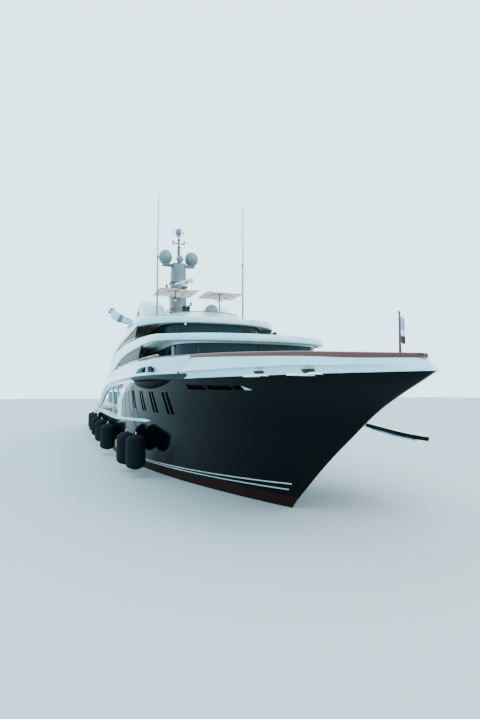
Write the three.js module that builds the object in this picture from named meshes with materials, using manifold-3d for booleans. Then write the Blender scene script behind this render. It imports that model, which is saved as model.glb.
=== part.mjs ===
// A motor yacht of 78.4 m, as a 1:2 scale model: navy hull with a wide raked bow, a white bulwark band and
// two more bands that sweep down amidships, three glazed deckhouses, a mast with radomes, a deck
// crane, an open shell door in the port bow, fenders on the starboard side, propellers and rudders.
// The frame: +X forward, +Y to port, +Z up, origin amidships on the centreline at the waterline.
// Every size below is in metres of the real yacht. The root group scales them to the model's millimetres.
import * as THREE from "three";
import { mergeVertices } from "three/addons/utils/BufferGeometryUtils.js";
import Module from "manifold-3d";

const wasm = await Module();
wasm.setup();

// Driving dimensions
const MODEL_MM_PER_METRE = 500; // 1:2
const SEAT = 0.0006; // gap between pieces that touch: 0.3 mm on the model
const HULL = { beam: 12.3, paintLine: 0.62, mainDeck: 3.4, sheer: 6.15 };
const DECK = { upper: 6.25, bridge: 8.7, sun: 10.85, slab: 0.25 };
const BAND = { thick: 0.24, tumblehome: 0.16 };
const PLANK = 0.08;
const SIMPLE = 0.0001; // details smaller than this are dropped from cut pieces

// Colours and finishes
const finish = (color, roughness, metalness = 0) =>
  new THREE.MeshStandardMaterial({ color, roughness, metalness });
const NAVY = finish("#0b1c2e", 0.08);
const ANTIFOUL = finish("#4a1715", 0.6);
const WHITE = finish("#e9edee", 0.2);
const TEAK = finish("#b98f63", 0.7);
const VARNISH = finish("#7c2f1c", 0.15);
const GLASS = finish("#12232b", 0.05);
const GREY = finish("#8d9da1", 0.35);
const BRONZE = finish("#a8813f", 0.3, 1);
const CANVAS = finish("#e3d5cd", 0.9);
const RUBBER = finish("#0c1622", 0.85);

// Geometry helpers

// Straight-line interpolation in a table of [key, value] rows, sorted by key.
function lookUp(rows, key) {
  if (key <= rows[0][0]) return rows[0][1];
  for (let i = 1; i < rows.length; i++) {
    const [k0, v0] = rows[i - 1];
    const [k1, v1] = rows[i];
    if (key <= k1) return v0 + ((v1 - v0) * (key - k0)) / (k1 - k0);
  }
  return rows[rows.length - 1][1];
}

// The same with eased slopes, for curves that the eye follows.
function curveThrough(rows, key) {
  if (key <= rows[0][0]) return rows[0][1];
  const last = rows.length - 1;
  if (key >= rows[last][0]) return rows[last][1];
  const i = rows.findIndex((row) => key <= row[0]);
  const slope = (a, b) => (rows[b][1] - rows[a][1]) / (rows[b][0] - rows[a][0]);
  const [k0, v0] = rows[i - 1];
  const [k1, v1] = rows[i];
  const m0 = i > 1 ? slope(i - 2, i) : slope(0, 1);
  const m1 = i < last ? slope(i - 1, i + 1) : slope(last - 1, last);
  const h = k1 - k0;
  const t = (key - k0) / h;
  return (
    (2 * t ** 3 - 3 * t ** 2 + 1) * v0 +
    (t ** 3 - 2 * t ** 2 + t) * h * m0 +
    (3 * t ** 2 - 2 * t ** 3) * v1 +
    (t ** 3 - t ** 2) * h * m1
  );
}

// A closed solid through rings of points: each ring is a closed loop of THREE.Vector3, all with one count.
function loft(rings) {
  const count = rings[0].length;
  const positions = rings.flat().flatMap((p) => [p.x, p.y, p.z]);
  const index = [];
  for (let r = 0; r + 1 < rings.length; r++)
    for (let i = 0; i < count; i++) {
      const a = r * count + i;
      const b = r * count + ((i + 1) % count);
      index.push(a, b, b + count, a, b + count, a + count);
    }
  const cap = (ring, offset, turned) => {
    const normal = new THREE.Vector3();
    ring.forEach((p, i) => {
      const q = ring[(i + 1) % count];
      normal.x += (p.y - q.y) * (p.z + q.z);
      normal.y += (p.z - q.z) * (p.x + q.x);
      normal.z += (p.x - q.x) * (p.y + q.y);
    });
    const sizes = [Math.abs(normal.x), Math.abs(normal.y), Math.abs(normal.z)];
    const axis = sizes.indexOf(Math.max(...sizes));
    const flat = ring.map((p) => {
      const c = [p.x, p.y, p.z];
      return new THREE.Vector2(c[(axis + 1) % 3], c[(axis + 2) % 3]);
    });
    const along = [normal.x, normal.y, normal.z][axis] > 0;
    for (const [a, b, c] of THREE.ShapeUtils.triangulateShape(flat, [])) {
      const area = flat[b].clone().sub(flat[a]).cross(flat[c].clone().sub(flat[a]));
      const follows = area > 0 === along;
      if (follows === turned) index.push(offset + a, offset + c, offset + b);
      else index.push(offset + a, offset + b, offset + c);
    }
  };
  cap(rings[0], 0, true);
  cap(rings[rings.length - 1], (rings.length - 1) * count, false);
  const geometry = new THREE.BufferGeometry();
  geometry.setAttribute("position", new THREE.Float32BufferAttribute(positions, 3));
  geometry.setIndex(index);
  return outward(geometry);
}

// Turns every face round if the solid's faces point in.
function outward(geometry) {
  const g = geometry.index ? geometry : mergeVertices(geometry);
  const at = g.getAttribute("position");
  const index = g.index.array;
  const [a, b, c] = [new THREE.Vector3(), new THREE.Vector3(), new THREE.Vector3()];
  let volume = 0;
  for (let i = 0; i < index.length; i += 3) {
    a.fromBufferAttribute(at, index[i]);
    b.fromBufferAttribute(at, index[i + 1]);
    c.fromBufferAttribute(at, index[i + 2]);
    volume += a.dot(b.cross(c));
  }
  if (volume < 0) g.setIndex(Array.from(index).reverse());
  return g;
}

// A three.js geometry as a manifold-3d solid, and back.
function solidOf(geometry, matrix = new THREE.Matrix4()) {
  const plain = new THREE.BufferGeometry();
  const source = geometry.index ? geometry.toNonIndexed() : geometry;
  plain.setAttribute("position", source.getAttribute("position").clone());
  plain.applyMatrix4(matrix);
  const merged = mergeVertices(plain, 1e-5);
  return new wasm.Manifold(
    new wasm.Mesh({
      numProp: 3,
      vertProperties: new Float32Array(merged.attributes.position.array),
      triVerts: new Uint32Array(merged.index.array),
    }),
  );
}

function meshOf(solid) {
  const mesh = solid.getMesh();
  const positions = new Float32Array(mesh.numVert * 3);
  for (let i = 0; i < mesh.numVert; i++)
    positions.set(mesh.vertProperties.subarray(i * mesh.numProp, i * mesh.numProp + 3), i * 3);
  const geometry = new THREE.BufferGeometry();
  geometry.setAttribute("position", new THREE.BufferAttribute(positions, 3));
  geometry.setIndex(new THREE.BufferAttribute(new Uint32Array(mesh.triVerts), 1));
  return geometry;
}

const geometryOf = (solid) => meshOf(solid.simplify(SIMPLE));

const joined = (geometries) => geometryOf(geometries.map((g) => solidOf(g)).reduce((a, b) => a.add(b)));
const without = (geometry, cutters) =>
  geometryOf(cutters.map((g) => solidOf(g)).reduce((a, b) => a.subtract(b), solidOf(geometry)));

// A piece cut back from its neighbour by the seating gap, in each of the directions given.
const seated = (geometry, neighbour, directions) => {
  const copies = directions.map(([x, y, z]) => neighbour.clone().translate(x * SEAT, y * SEAT, z * SEAT));
  return without(geometry, copies);
};

// The largest body of a cut piece, without the slivers left outside its neighbour.
const larger = (one, other) => (other.volume() > one.volume() ? other : one);
const mainBody = (geometry) => meshOf(solidOf(geometry).simplify(SIMPLE).decompose().reduce(larger));

const vec = (x, y, z) => new THREE.Vector3(x, y, z);
const FLIPPED = new THREE.Matrix4().makeScale(1, -1, 1);
const mirrored = (geometry) => outward(geometry.clone().applyMatrix4(FLIPPED));

// A box from its low corner to its high corner.
function block([x0, y0, z0], [x1, y1, z1]) {
  const g = new THREE.BoxGeometry(x1 - x0, y1 - y0, z1 - z0);
  return g.translate((x0 + x1) / 2, (y0 + y1) / 2, (z0 + z1) / 2);
}

// A round bar between two points, with its own radius at each end.
function bar(from, to, radius, endRadius = radius, sides = 8) {
  const axis = new THREE.Vector3().subVectors(to, from);
  const g = new THREE.CylinderGeometry(endRadius, radius, axis.length(), sides);
  g.applyQuaternion(new THREE.Quaternion().setFromUnitVectors(vec(0, 1, 0), axis.clone().normalize()));
  return g.translate((from.x + to.x) / 2, (from.y + to.y) / 2, (from.z + to.z) / 2);
}

// A body of revolution about +Z through a point: rows of [radius, height].
function turned(rows, centre, sides = 16) {
  const g = new THREE.LatheGeometry(rows.map(([r, z]) => new THREE.Vector2(r, z)), sides);
  return outward(mergeVertices(stripped(g.rotateX(Math.PI / 2).translate(centre.x, centre.y, centre.z))));
}

function stripped(geometry) {
  geometry.deleteAttribute("normal");
  geometry.deleteAttribute("uv");
  return geometry;
}

// A flat slab between two heights over a plan outline of [x, y] points, less the points in a straight run.
function slab(outline, low, high) {
  const turns = outline.filter(([x, y], i) => {
    const [px, py] = outline[(i + outline.length - 1) % outline.length];
    const [qx, qy] = outline[(i + 1) % outline.length];
    return Math.abs((x - px) * (qy - py) - (y - py) * (qx - px)) > 1e-4;
  });
  return loft([low, high].map((z) => turns.map(([x, y]) => vec(x, y, z))));
}

// A plan path moved sideways by a distance, with mitred corners: positive goes to the left of its travel.
function movedPath(path, distance, closed = false) {
  const last = path.length - 1;
  const unit = ([ax, ay], [bx, by]) => {
    const length = Math.hypot(bx - ax, by - ay);
    return [(bx - ax) / length, (by - ay) / length];
  };
  return path.map((point, i) => {
    const before = i ? path[i - 1] : closed && path[last];
    const after = i < last ? path[i + 1] : closed && path[0];
    const u = before ? unit(before, point) : unit(point, after);
    const v = after ? unit(point, after) : u;
    const reach = distance / (1 + u[0] * v[0] + u[1] * v[1]);
    return [point[0] - (u[1] + v[1]) * reach, point[1] + (u[0] + v[0]) * reach];
  });
}

// The port half of a plan path, made whole: from the starboard aft end round the front to the port aft end.
function bothSides(half) {
  const starboard = half.map(([x, y]) => [x, -y]).reverse();
  return half[0][1] < 1e-6 ? [...starboard.slice(0, -1), ...half] : [...starboard, ...half];
}

// A wall that follows a plan path. Each column is [x, y, z low, z high] of its outer face.
function wall(columns, thick, lean = () => 0) {
  const low = columns.map(([x, y, z]) => [x, y - Math.sign(y) * lean(z)]);
  const high = columns.map(([x, y, , z]) => [x, y - Math.sign(y) * lean(z)]);
  const [lowIn, highIn] = [movedPath(low, thick), movedPath(high, thick)];
  return loft(
    columns.map(([, , z0, z1], i) => [
      vec(low[i][0], low[i][1], z0),
      vec(high[i][0], high[i][1], z1),
      vec(highIn[i][0], highIn[i][1], z1),
      vec(lowIn[i][0], lowIn[i][1], z0),
    ]),
  );
}

// Hull form: where the stem and the stern lie at each height, and the half breadth between them
const STEM = [
  [-3.6, 23.5], [-3.2, 26.2], [-2.4, 28.1], [-1.2, 29.1], [0, 29.6], [1.15, 31.0], [2.6, 32.95],
  [3.7, 34.6], [4.8, 36.3], [5.4, 37.5], [5.9, 38.65], [6.15, 39.2],
];
const STERN = [
  [-3.6, -13], [-3.0, -18], [-2.4, -22.5], [-1.6, -28], [-0.9, -32.5], [-0.3, -35.4], [0.62, -35.6],
  [3.4, -34.8], [6.15, -34.8],
];
const FULLEST = [
  [-3.6, 0.3], [-3.4, 2.5], [-3.0, 3.9], [-2.4, 4.85], [-1.6, 5.35], [-0.8, 5.55], [0, 5.65], [3.4, 5.98],
  [6.15, 6.15],
];
const FULL_AT = [[-3.6, 0], [0, 2], [3.7, 12], [6.15, 16]]; // x where the bow's narrowing ends
const BOW_FULLNESS = [[-3.6, 1.4], [-1.5, 1.9], [0, 2.2], [1.5, 2.28], [3.7, 2.4], [6.15, 2.75]];
const TRANSOM_SHARE = [
  [-3.6, 0.3], [-2.4, 0.3], [-1.6, 0.5], [-0.9, 0.68], [-0.3, 0.8], [0.62, 0.84], [6.15, 0.86],
];
const STERN_POWER = 2.2;

function halfBreadth(x, z) {
  const stem = curveThrough(STEM, z);
  const widest = curveThrough(FULLEST, z);
  const fullAt = lookUp(FULL_AT, z);
  if (x >= fullAt) {
    const t = Math.max(0, (stem - x) / (stem - fullAt));
    const nose = 0.16 * Math.max(0, (z + 1) / 7.15) * Math.sqrt(t) * Math.exp(-9 * t);
    return widest * (1 - (1 - t) ** lookUp(BOW_FULLNESS, z) + nose);
  }
  const s = (fullAt - x) / (fullAt - curveThrough(STERN, z));
  return widest * (1 - (1 - lookUp(TRANSOM_SHARE, z)) * s ** STERN_POWER);
}

// One waterline of the hull as a closed loop. share gives the stations, 0 at the stem and 1 at the aft end.
const SHARES = [
  0, 0.004, 0.012, 0.025, 0.045, 0.07, 0.1, 0.135, 0.175, 0.22, 0.27, 0.33, 0.4, 0.48, 0.56, 0.64, 0.72, 0.8,
  0.87, 0.94, 1,
];
function waterline(z, aftEnd = curveThrough(STERN, z)) {
  const stem = curveThrough(STEM, z);
  const port = SHARES.map((share) => {
    const x = stem + (aftEnd - stem) * share;
    return vec(x, share ? halfBreadth(x, z) : 0, z);
  });
  const starboard = port.slice(1).reverse().map((p) => vec(p.x, -p.y, p.z));
  return [...port, ...starboard];
}

const BOTTOM_ROWS = [-3.6, -3.4, -3.0, -2.4, -1.6, -0.9, -0.3, 0.2, HULL.paintLine];
const hullBottom = loft(BOTTOM_ROWS.map((z) => waterline(z)));

// The raised forward hull ends aft in a slanted pillar, at the fore end of the open side deck.
const PILLAR = [[HULL.mainDeck, 9.2], [4.9, 10.0], [5.5, 11.8], [HULL.sheer, 14.6]];
const LAP = 0.02; // how far two pieces are drawn into each other before they are joined or cut
const LOW_ROWS = [HULL.paintLine + SEAT, 1.3, 2.0, 2.7, HULL.mainDeck];
const HIGH_ROWS = [HULL.mainDeck - LAP, 4.2, 4.9, 5.5, 5.85, HULL.sheer];
const topsideLow = loft(LOW_ROWS.map((z) => waterline(z)));
const topsideHigh = loft(HIGH_ROWS.map((z) => waterline(z, lookUp(PILLAR, z))));

// Hinge knuckles along a line, by turns on the hull and on the door. Each has a web into what carries it.
const KNUCKLE = { radius: 0.06, long: 0.16, web: 0.22, webHigh: 0.14, room: 0.012 };
function knuckles(line, spots, { shift, grow, up }) {
  const { from, along, out } = line;
  const { radius, long, web, webHigh } = KNUCKLE;
  const at = (a, o, z) => from.clone().addScaledVector(along, a).addScaledVector(out, o).add(vec(0, 0, z));
  return spots.flatMap((spot) => {
    const [a0, a1] = [spot + shift - grow, spot + shift + long + grow];
    const barrel = bar(at(a0, 0, 0), at(a1, 0, 0), radius + grow, radius + grow, 12);
    if (grow) return [barrel];
    const [z0, z1] = up ? [0, webHigh] : [-webHigh, 0];
    const ring = (a) => [at(a, 0, z0), at(a, -web, z0), at(a, -web, z1), at(a, 0, z1)];
    return [barrel, loft([ring(a0), ring(a1)])];
  });
}
const ON_HULL = { shift: 0, grow: 0, up: true };
const ON_DOOR = { shift: KNUCKLE.long + SEAT, grow: 0, up: false };
const clearOf = (kind) => ({ ...kind, grow: KNUCKLE.room });
function hungOn(hull, door, line, spots) {
  const side = (solid, own, other) => {
    const pockets = knuckles(line, spots, clearOf(other)).map((g) => solidOf(g));
    const cleared = pockets.reduce((a, b) => a.subtract(b), solid);
    return knuckles(line, spots, own).reduce((a, b) => a.add(solidOf(b)), cleared);
  };
  return { hull: side(hull, ON_HULL, ON_DOOR), door: side(door, ON_DOOR, ON_HULL) };
}

// Shell door, port bow: a raked panel of the hull's side, hinged along its top edge and shown open
const DOOR = {
  aft: 27.6, fore: 32.6, high: 4.3, low: 1.5, rake: 0.48, thick: 0.2, recess: 0.42, clear: 0.065,
  corner: 0.4, proud: 0.03,
};
const DOOR_SLOPE = 16; // degrees below level, as shown
const doorHinge = (() => {
  const onHull = (x) => vec(x, halfBreadth(x, DOOR.high), DOOR.high);
  const [from, to] = [onHull(DOOR.aft), onHull(DOOR.fore)];
  const along = new THREE.Vector3().subVectors(to, from).normalize();
  const out = vec(-along.y, along.x, 0);
  const middle = onHull((DOOR.aft + DOOR.fore) / 2).sub(from).dot(out);
  from.addScaledVector(out, Math.max(middle, 0) + DOOR.proud);
  return { from, along, out, length: from.distanceTo(to) };
})();

// How far the plating leans out over the door's height, and the directions down and out of the door's face
const doorFlare = (() => {
  const drop = DOOR.high - DOOR.low;
  const x = (DOOR.aft + DOOR.fore) / 2 - 1;
  return Math.atan2(halfBreadth(x, DOOR.high) - halfBreadth(x, DOOR.low), drop);
})();
const inSwing = (level, high) => doorHinge.out.clone().multiplyScalar(level).add(vec(0, 0, high));
const doorFace = {
  down: inSwing(-Math.sin(doorFlare), -Math.cos(doorFlare)),
  out: inSwing(Math.cos(doorFlare), -Math.sin(doorFlare)),
  height: (DOOR.high - DOOR.low) / Math.cos(doorFlare),
};

// A block through the plating with the door's raked outline, in rows of [along the hinge, down the face].
// Its top edge runs in level, and its other edges turn square to the face on the way down.
function doorBlock(outline) {
  const { from, along, out: level } = doorHinge;
  const { down, out: square, height } = doorFace;
  const ring = (reach) =>
    outline.map(([a, drop]) => {
      const inward = level.clone().lerp(square, drop / height);
      const onFace = from.clone().addScaledVector(along, a - drop * DOOR.rake);
      return onFace.addScaledVector(down, drop).addScaledVector(inward, reach);
    });
  return loft([ring(-1.5), ring(1)]);
}
const doorOpening = (() => {
  const [a, h] = [doorHinge.length, doorFace.height];
  return doorBlock([[0, 0], [a, 0], [a, h], [0, h]]);
})();
const doorBlank = (() => {
  const { clear: c, corner } = DOOR;
  const [a, h] = [doorHinge.length - c, doorFace.height - c];
  return doorBlock([[c, c], [a - corner * DOOR.rake, c], [a, corner], [a, h], [c, h]]);
})();
const hullSolid = solidOf(topsideLow).add(solidOf(topsideHigh));
const movedIn = (reach) =>
  hullSolid.translate([-doorHinge.out.x * reach, -doorHinge.out.y * reach, reach * 0.5]);
const doorRecess = solidOf(doorOpening).subtract(movedIn(DOOR.recess));
const hingeTurn = (degrees) => {
  const { from, along } = doorHinge;
  const there = new THREE.Matrix4().makeTranslation(from.x, from.y, from.z);
  const back = new THREE.Matrix4().makeTranslation(-from.x, -from.y, -from.z);
  const turn = new THREE.Matrix4().makeRotationAxis(along, (degrees * Math.PI) / 180);
  return there.multiply(turn).multiply(back);
};
const DOOR_OPEN = 90 - DOOR_SLOPE + (doorFlare * 180) / Math.PI;

// Stern garage door: a panel in the transom, hinged at its top
const GARAGE = { halfWidth: 2.6, low: 0.95, high: 2.9, depth: 0.7, thick: 0.2, clear: 0.03 };
const garageCut = (inset, ahead) =>
  solidOf(
    block(
      [-37, inset - GARAGE.halfWidth, GARAGE.low + inset],
      [lookUp(STERN, GARAGE.high) + ahead, GARAGE.halfWidth - inset, GARAGE.high - inset],
    ),
  );
const garageHinge = {
  from: vec(lookUp(STERN, GARAGE.high) - 0.02, 0, GARAGE.high),
  along: vec(0, 1, 0),
  out: vec(-1, 0, 0),
};
const garagePanel = hullSolid
  .intersect(garageCut(GARAGE.clear, 0.6))
  .subtract(hullSolid.translate([GARAGE.thick, 0, 0]));
const garage = hungOn(
  hullSolid.subtract(doorRecess).subtract(garageCut(0, GARAGE.depth)),
  garagePanel,
  garageHinge,
  [-2.2, -0.16, 1.88],
);
const transomDoor = geometryOf(garage.door);

const shellPanel = hullSolid
  .intersect(solidOf(doorBlank))
  .subtract(movedIn(DOOR.thick));
const shell = hungOn(garage.hull, shellPanel, doorHinge, [0.5, 2.55, 4.6]);
const hullTopside = geometryOf(shell.hull);
const shellDoor = geometryOf(shell.door).applyMatrix4(hingeTurn(DOOR_OPEN));

// Bathing platform behind the transom
const PLATFORM = { aft: -39.2, halfWidth: 4.35, low: 0.38, high: 0.85 };
const sternPlatform = (() => {
  const { aft, halfWidth: w, low, high } = PLATFORM;
  const outline = [[-35.0, w], [-37.8, w - 0.05], [-38.7, w - 0.45], [-39.1, w - 1.3], [aft, w - 2.4]];
  const blank = slab([...outline, ...outline.map(([x, y]) => [x, -y]).reverse()], low, high);
  const aftward = [[-1, 0, 0], [-1, 0, 1], [-1, 0, -1]];
  return mainBody(seated(seated(blank, hullBottom, aftward), geometryOf(hullSolid), aftward));
})();

// Plan outlines of the decks' outer edges, front to aft, on the port side
const STATIONS = [
  39.2, 39.08, 38.85, 38.4, 37.8, 37, 36, 35, 33.8, 32.4, 31, 29.5, 28, 26, 24, 22, 20, 18, 16, 13.5, 11,
  8.5, 6, 4.75, 3.5, 2.25, 1, 0, -1.5, -3, -4, -6.5, -9, -11.5, -14, -16.5, -19, -21.5,
];
const TIP = { from: 38.9, end: 39.2, wide: 1.35 }; // the sheer is rounded off at the very bow
const sheerHalf = (x) =>
  x > TIP.from ? Math.sqrt(Math.max(0, TIP.end - x)) * TIP.wide : halfBreadth(x, HULL.sheer);
const SIDE_AFT = [[-30, 5.35], [-20, 5.85], [-5, 6.1], [16, HULL.beam / 2]];
const sideLine = (x) => (x > 16 ? sheerHalf(x) : lookUp(SIDE_AFT, x));
const lean = (z) => Math.max(0, z - HULL.sheer) * BAND.tumblehome;

// A rounded front: the share of the full breadth at x, for an outline that starts at front.
function roundedFront(x, front, depth, power) {
  const t = Math.min(1, Math.max(0, (front - x) / depth));
  return (1 - (1 - t) ** power) ** (1 / power);
}
const BRIDGE_FRONT = { x: 26.7, depth: 4.4, power: 2.2 };
const SUN_FRONT = { x: 19.3, depth: 5.2, power: 2.3 };
const FRONT_STEPS = [0, 0.006, 0.025, 0.06, 0.11, 0.18, 0.27, 0.38, 0.52, 0.7, 0.86, 1];

function bandPath(front) {
  const nose = FRONT_STEPS.map((t) => front.x - t * front.depth);
  const aft = STATIONS.filter((x) => x < front.x - front.depth - 0.4);
  return [...nose, ...aft].map((x) => [x, sideLine(x) * roundedFront(x, front.x, front.depth, front.power)]);
}

// The three bands: heights of the lower and upper edge along the length
const BAND1_LOW = [
  [-21.5, 3.41], [-17, 3.45], [-14, 3.62], [-10, 4.0], [-7, 4.4], [-4.5, 4.89], [-1.8, 5.45], [1.8, 5.84],
  [5.8, 6.04], [8, 6.12], [11, 6.15],
];
const BAND1_HIGH = [
  [-21.5, 3.72], [-18, 3.9], [-15, 4.3], [-12, 4.9], [-9.9, 5.4], [-6.7, 5.86], [-4.6, 6.34], [-2.3, 6.89],
  [0.5, 7.22], [3.6, 7.42], [6.6, 7.54], [13.5, 7.6], [18.6, 7.55], [21, 7.48], [27, 7.25], [31, 7.1],
  [35, 6.9], [37, 6.75], [38.85, 6.62], [39.2, 6.6],
];
const BAND2_LOW = [
  [0.5, 7.22], [3.4, 7.56], [5.5, 7.93], [7.7, 8.24], [10.4, 8.43], [13.7, 8.53], [17.3, 8.54], [21, 8.5],
  [24, 8.42], [26.7, 8.3],
];
const BAND2_HIGH = [
  [-3, 7.0], [-2, 7.36], [-0.6, 7.95], [0.3, 8.6], [1.5, 9.3], [5, 9.58], [10, 9.56], [13, 9.46], [18, 9.22],
  [22, 8.98], [24.5, 8.82], [26.7, 8.74],
];
const BAND3_LOW = [[2, 9.4], [4.1, 9.68], [8, 9.9], [12, 10.1], [16, 10.3], [19.3, 10.38]];
const BAND3_HIGH = [
  [0, 8.7], [0.5, 9.0], [1.5, 9.5], [3, 10.12], [4.5, 10.42], [6.5, 10.62], [9.3, 10.78], [12, 10.87],
  [16, 10.9], [19.3, 10.84],
];
const band1Low = (x) => curveThrough(BAND1_LOW, x);
const band1High = (x) => curveThrough(BAND1_HIGH, x);
const onBand = (rows, high, x) => Math.max(x < rows[0][0] ? 0 : curveThrough(rows, x), high(x) - LAP);
const band2Low = (x) => onBand(BAND2_LOW, band1High, x);
const band2High = (x) => curveThrough(BAND2_HIGH, x);
const band3Low = (x) => onBand(BAND3_LOW, band2High, x);
const band3High = (x) => curveThrough(BAND3_HIGH, x);

const bowPath = STATIONS.map((x) => [x, sheerHalf(x) === 0 ? 0 : sideLine(x)]);
const bridgePath = bandPath(BRIDGE_FRONT);
const sunPath = bandPath(SUN_FRONT);

function band(path, low, high, aftEnd) {
  const half = path.filter(([x]) => x >= aftEnd);
  const columns = bothSides(half).map(([x, y]) => [x, y, low(x), high(x)]);
  return wall(columns, BAND.thick, lean);
}

// Wing stations: a rounded balcony on each side of the bulwark, with a mooring port through it
const WING = { aft: 19.4, fore: 28.6, out: 0.72, rows: [
  [6.02, 0.3], [6.2, 0.75], [6.38, 1], [6.46, 1], [7.2, 0.88],
] };
function wing() {
  const steps = [0, 0.06, 0.16, 0.3, 0.5, 0.7, 0.84, 0.94, 1];
  const outer = steps.map((t) => {
    const x = WING.aft + (WING.fore - WING.aft) * t;
    return [x, sideLine(x) - 0.02 + WING.out * Math.sin(Math.PI * t) ** 0.7];
  });
  const inner = steps.map((t) => {
    const x = WING.aft + (WING.fore - WING.aft) * t;
    return [x, sideLine(x) - BAND.thick * 0.6];
  });
  const ring = (z, share) => {
    const front = outer.map(([x, y], i) => vec(x, inner[i][1] + (y - inner[i][1]) * share, z));
    return [...front, ...inner.map(([x, y]) => vec(x, y, z)).reverse()];
  };
  return loft(WING.rows.map(([z, share]) => ring(z, share)));
}
function mooringPort() {
  const arch = new THREE.Shape();
  arch.moveTo(-1.6, 0);
  arch.lineTo(1.6, 0);
  arch.lineTo(1.45, 0.16);
  arch.quadraticCurveTo(1.2, 0.31, 0.7, 0.32);
  arch.lineTo(-0.4, 0.3);
  arch.quadraticCurveTo(-1.1, 0.26, -1.6, 0);
  const g = new THREE.ExtrudeGeometry(arch, { depth: 3, bevelEnabled: false, curveSegments: 4 });
  return outward(mergeVertices(stripped(g.rotateX(Math.PI / 2).translate(24.5, 8.2, 6.56))));
}

const port = mooringPort();
const RAISED = 11; // forward of this the bulwark stands on the raised hull and its foredeck
const AFT_END = { band1: -21.5, band2: -3, band3: 0 };
const bulwarkBand = (() => {
  const low = (x) => Math.max(band1Low(x), x > RAISED ? HULL.sheer + SEAT : 0);
  const plain = band(bowPath, low, band1High, AFT_END.band1);
  const seatedWing = without(wing(), [topsideHigh.clone().scale(1, 1.0004, 1).translate(0, 0, SEAT)]);
  return without(joined([plain, seatedWing, mirrored(seatedWing)]), [port, mirrored(port)]);
})();
const UPWARD = [[0, 1, 1], [0, -1, 1], [1, 0, 1], [-1, 0, 1]];
const onTop = (plain, below) => mainBody(seated(plain, below, UPWARD));
const bridgeBand = onTop(band(bridgePath, band2Low, band2High, AFT_END.band2), bulwarkBand);
const sunBand = onTop(band(sunPath, band3Low, band3High, AFT_END.band3), bridgeBand);

// Decks: each reaches into its band's thickness and is cut back from it. Aft of its band it grows narrower.
const NARROWING = {
  upper: [[-21.5, 4.4], [-14, 5.2], [-10, 5.6], [-7, 5.8], [-4, 6.0], [-2, 6.3]],
  bridge: [[-14, 4.2], [-8, 4.6], [-3, 5.2], [1.5, 5.7], [3.5, 6.3]],
  sun: [[-4, 4.0], [4, 4.8], [9, 5.2], [12, 6.3]],
};
function deckOutline(path, z, aftEnd, widest) {
  const inset = (x, y) => Math.min(y - (y ? lean(z) : 0), lookUp(widest, x));
  const half = path.filter(([x]) => x >= aftEnd).map(([x, y]) => [x, inset(x, y)]);
  return movedPath(bothSides(half), BAND.thick * 0.5);
}
const INWARD = [[-1, 0, 0], [0, 1, 0], [0, -1, 0], [0, 0, -1], [0, 0, 1]];
const BANDS = [bulwarkBand, bridgeBand, sunBand];
function deck(path, widest, aftEnd, foreEnd, low, high) {
  const outline = deckOutline(path, high, aftEnd, widest).filter(([x]) => x <= foreEnd);
  return mainBody(BANDS.reduce((made, one) => seated(made, one, INWARD), slab(outline, low, high)));
}
const foredeck = deck(bowPath, NARROWING.upper, RAISED, 40, HULL.sheer + SEAT, DECK.upper);
const upperAft = deck(bowPath, NARROWING.upper, -21.5, 10, DECK.upper - DECK.slab, DECK.upper);
const bridgeSlab = deck(bridgePath, NARROWING.bridge, -14, 40, DECK.bridge - DECK.slab, DECK.bridge);
const sunSlab = deck(sunPath, NARROWING.sun, -4, 40, DECK.sun - DECK.slab, DECK.sun);
const MAIN_MARGIN = 0.35;
const mainDeck = (() => {
  const side = [6, 0, -6, -12, -18, -24, -30].map((x) => [x, halfBreadth(x, HULL.mainDeck) - MAIN_MARGIN]);
  const outline = bothSides([[8.9, 5.6], ...side, [-33.8, 4.7]]);
  return slab(outline, HULL.mainDeck + SEAT, HULL.mainDeck + PLANK);
})();

// Varnished cap rail on the bulwark, round the bow
const CAP = { wide: 0.28, high: 0.09, aft: 20, sunk: 0.02, out: 0.05 };
const capRail = (() => {
  const half = bowPath.filter(([x]) => x >= CAP.aft);
  const edge = half.map(([x, y]) => [x, y ? y - lean(band1High(x)) : 0]);
  const outer = movedPath(bothSides(edge), -CAP.out);
  const inner = movedPath(outer, CAP.wide);
  const heights = bothSides(half).map(([x]) => band1High(x));
  const blank = loft(
    outer.map(([x, y], i) => [
      vec(x, y, heights[i] - CAP.sunk),
      vec(x, y, heights[i] + CAP.high),
      vec(inner[i][0], inner[i][1], heights[i] + CAP.high),
      vec(inner[i][0], inner[i][1], heights[i] - CAP.sunk),
    ]),
  );
  return mainBody(seated(blank, bulwarkBand, [...UPWARD, [0, 0, 1], [0, 0, 0]]));
})();

// Rub rail along the main deck's edge and round the stern: it rises forward
const RUB = { out: 0.16, high: 0.19, bevel: 0.04 };
const RUB_LOW = [
  [-34.8, 3.06], [-20, 3.12], [-6, 3.18], [5, 3.22], [9.2, 3.3], [12, 3.44], [19.3, 3.65], [22.6, 3.74],
];
const rubRail = (() => {
  const xs = [22.6, 21, 19.3, 16.5, 14, 11, 8, 5, 0, -6, -12, -18, -24, -29, -33, -34.8];
  const half = xs.map((x) => [x, halfBreadth(x, lookUp(RUB_LOW, x)) + 0.02]);
  const stern = [[-34.96, 4.6], [-34.98, 0]];
  const path = [...half, ...stern];
  const starboard = path.slice(0, -1).map(([x, y]) => [x, -y]).reverse();
  const whole = [...path, ...starboard];
  const outer = movedPath(whole, -RUB.out);
  const ring = whole.map(([x, y], i) => {
    const z0 = lookUp(RUB_LOW, x);
    const z1 = z0 + RUB.high;
    return [
      vec(x, y, z0),
      vec(outer[i][0], outer[i][1], z0 + RUB.bevel),
      vec(outer[i][0], outer[i][1], z1 - RUB.bevel),
      vec(x, y, z1),
    ];
  });
  return without(loft(ring), [geometryOf(hullSolid).scale(1.0001, 1.0003, 1)]);
})();

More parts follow.
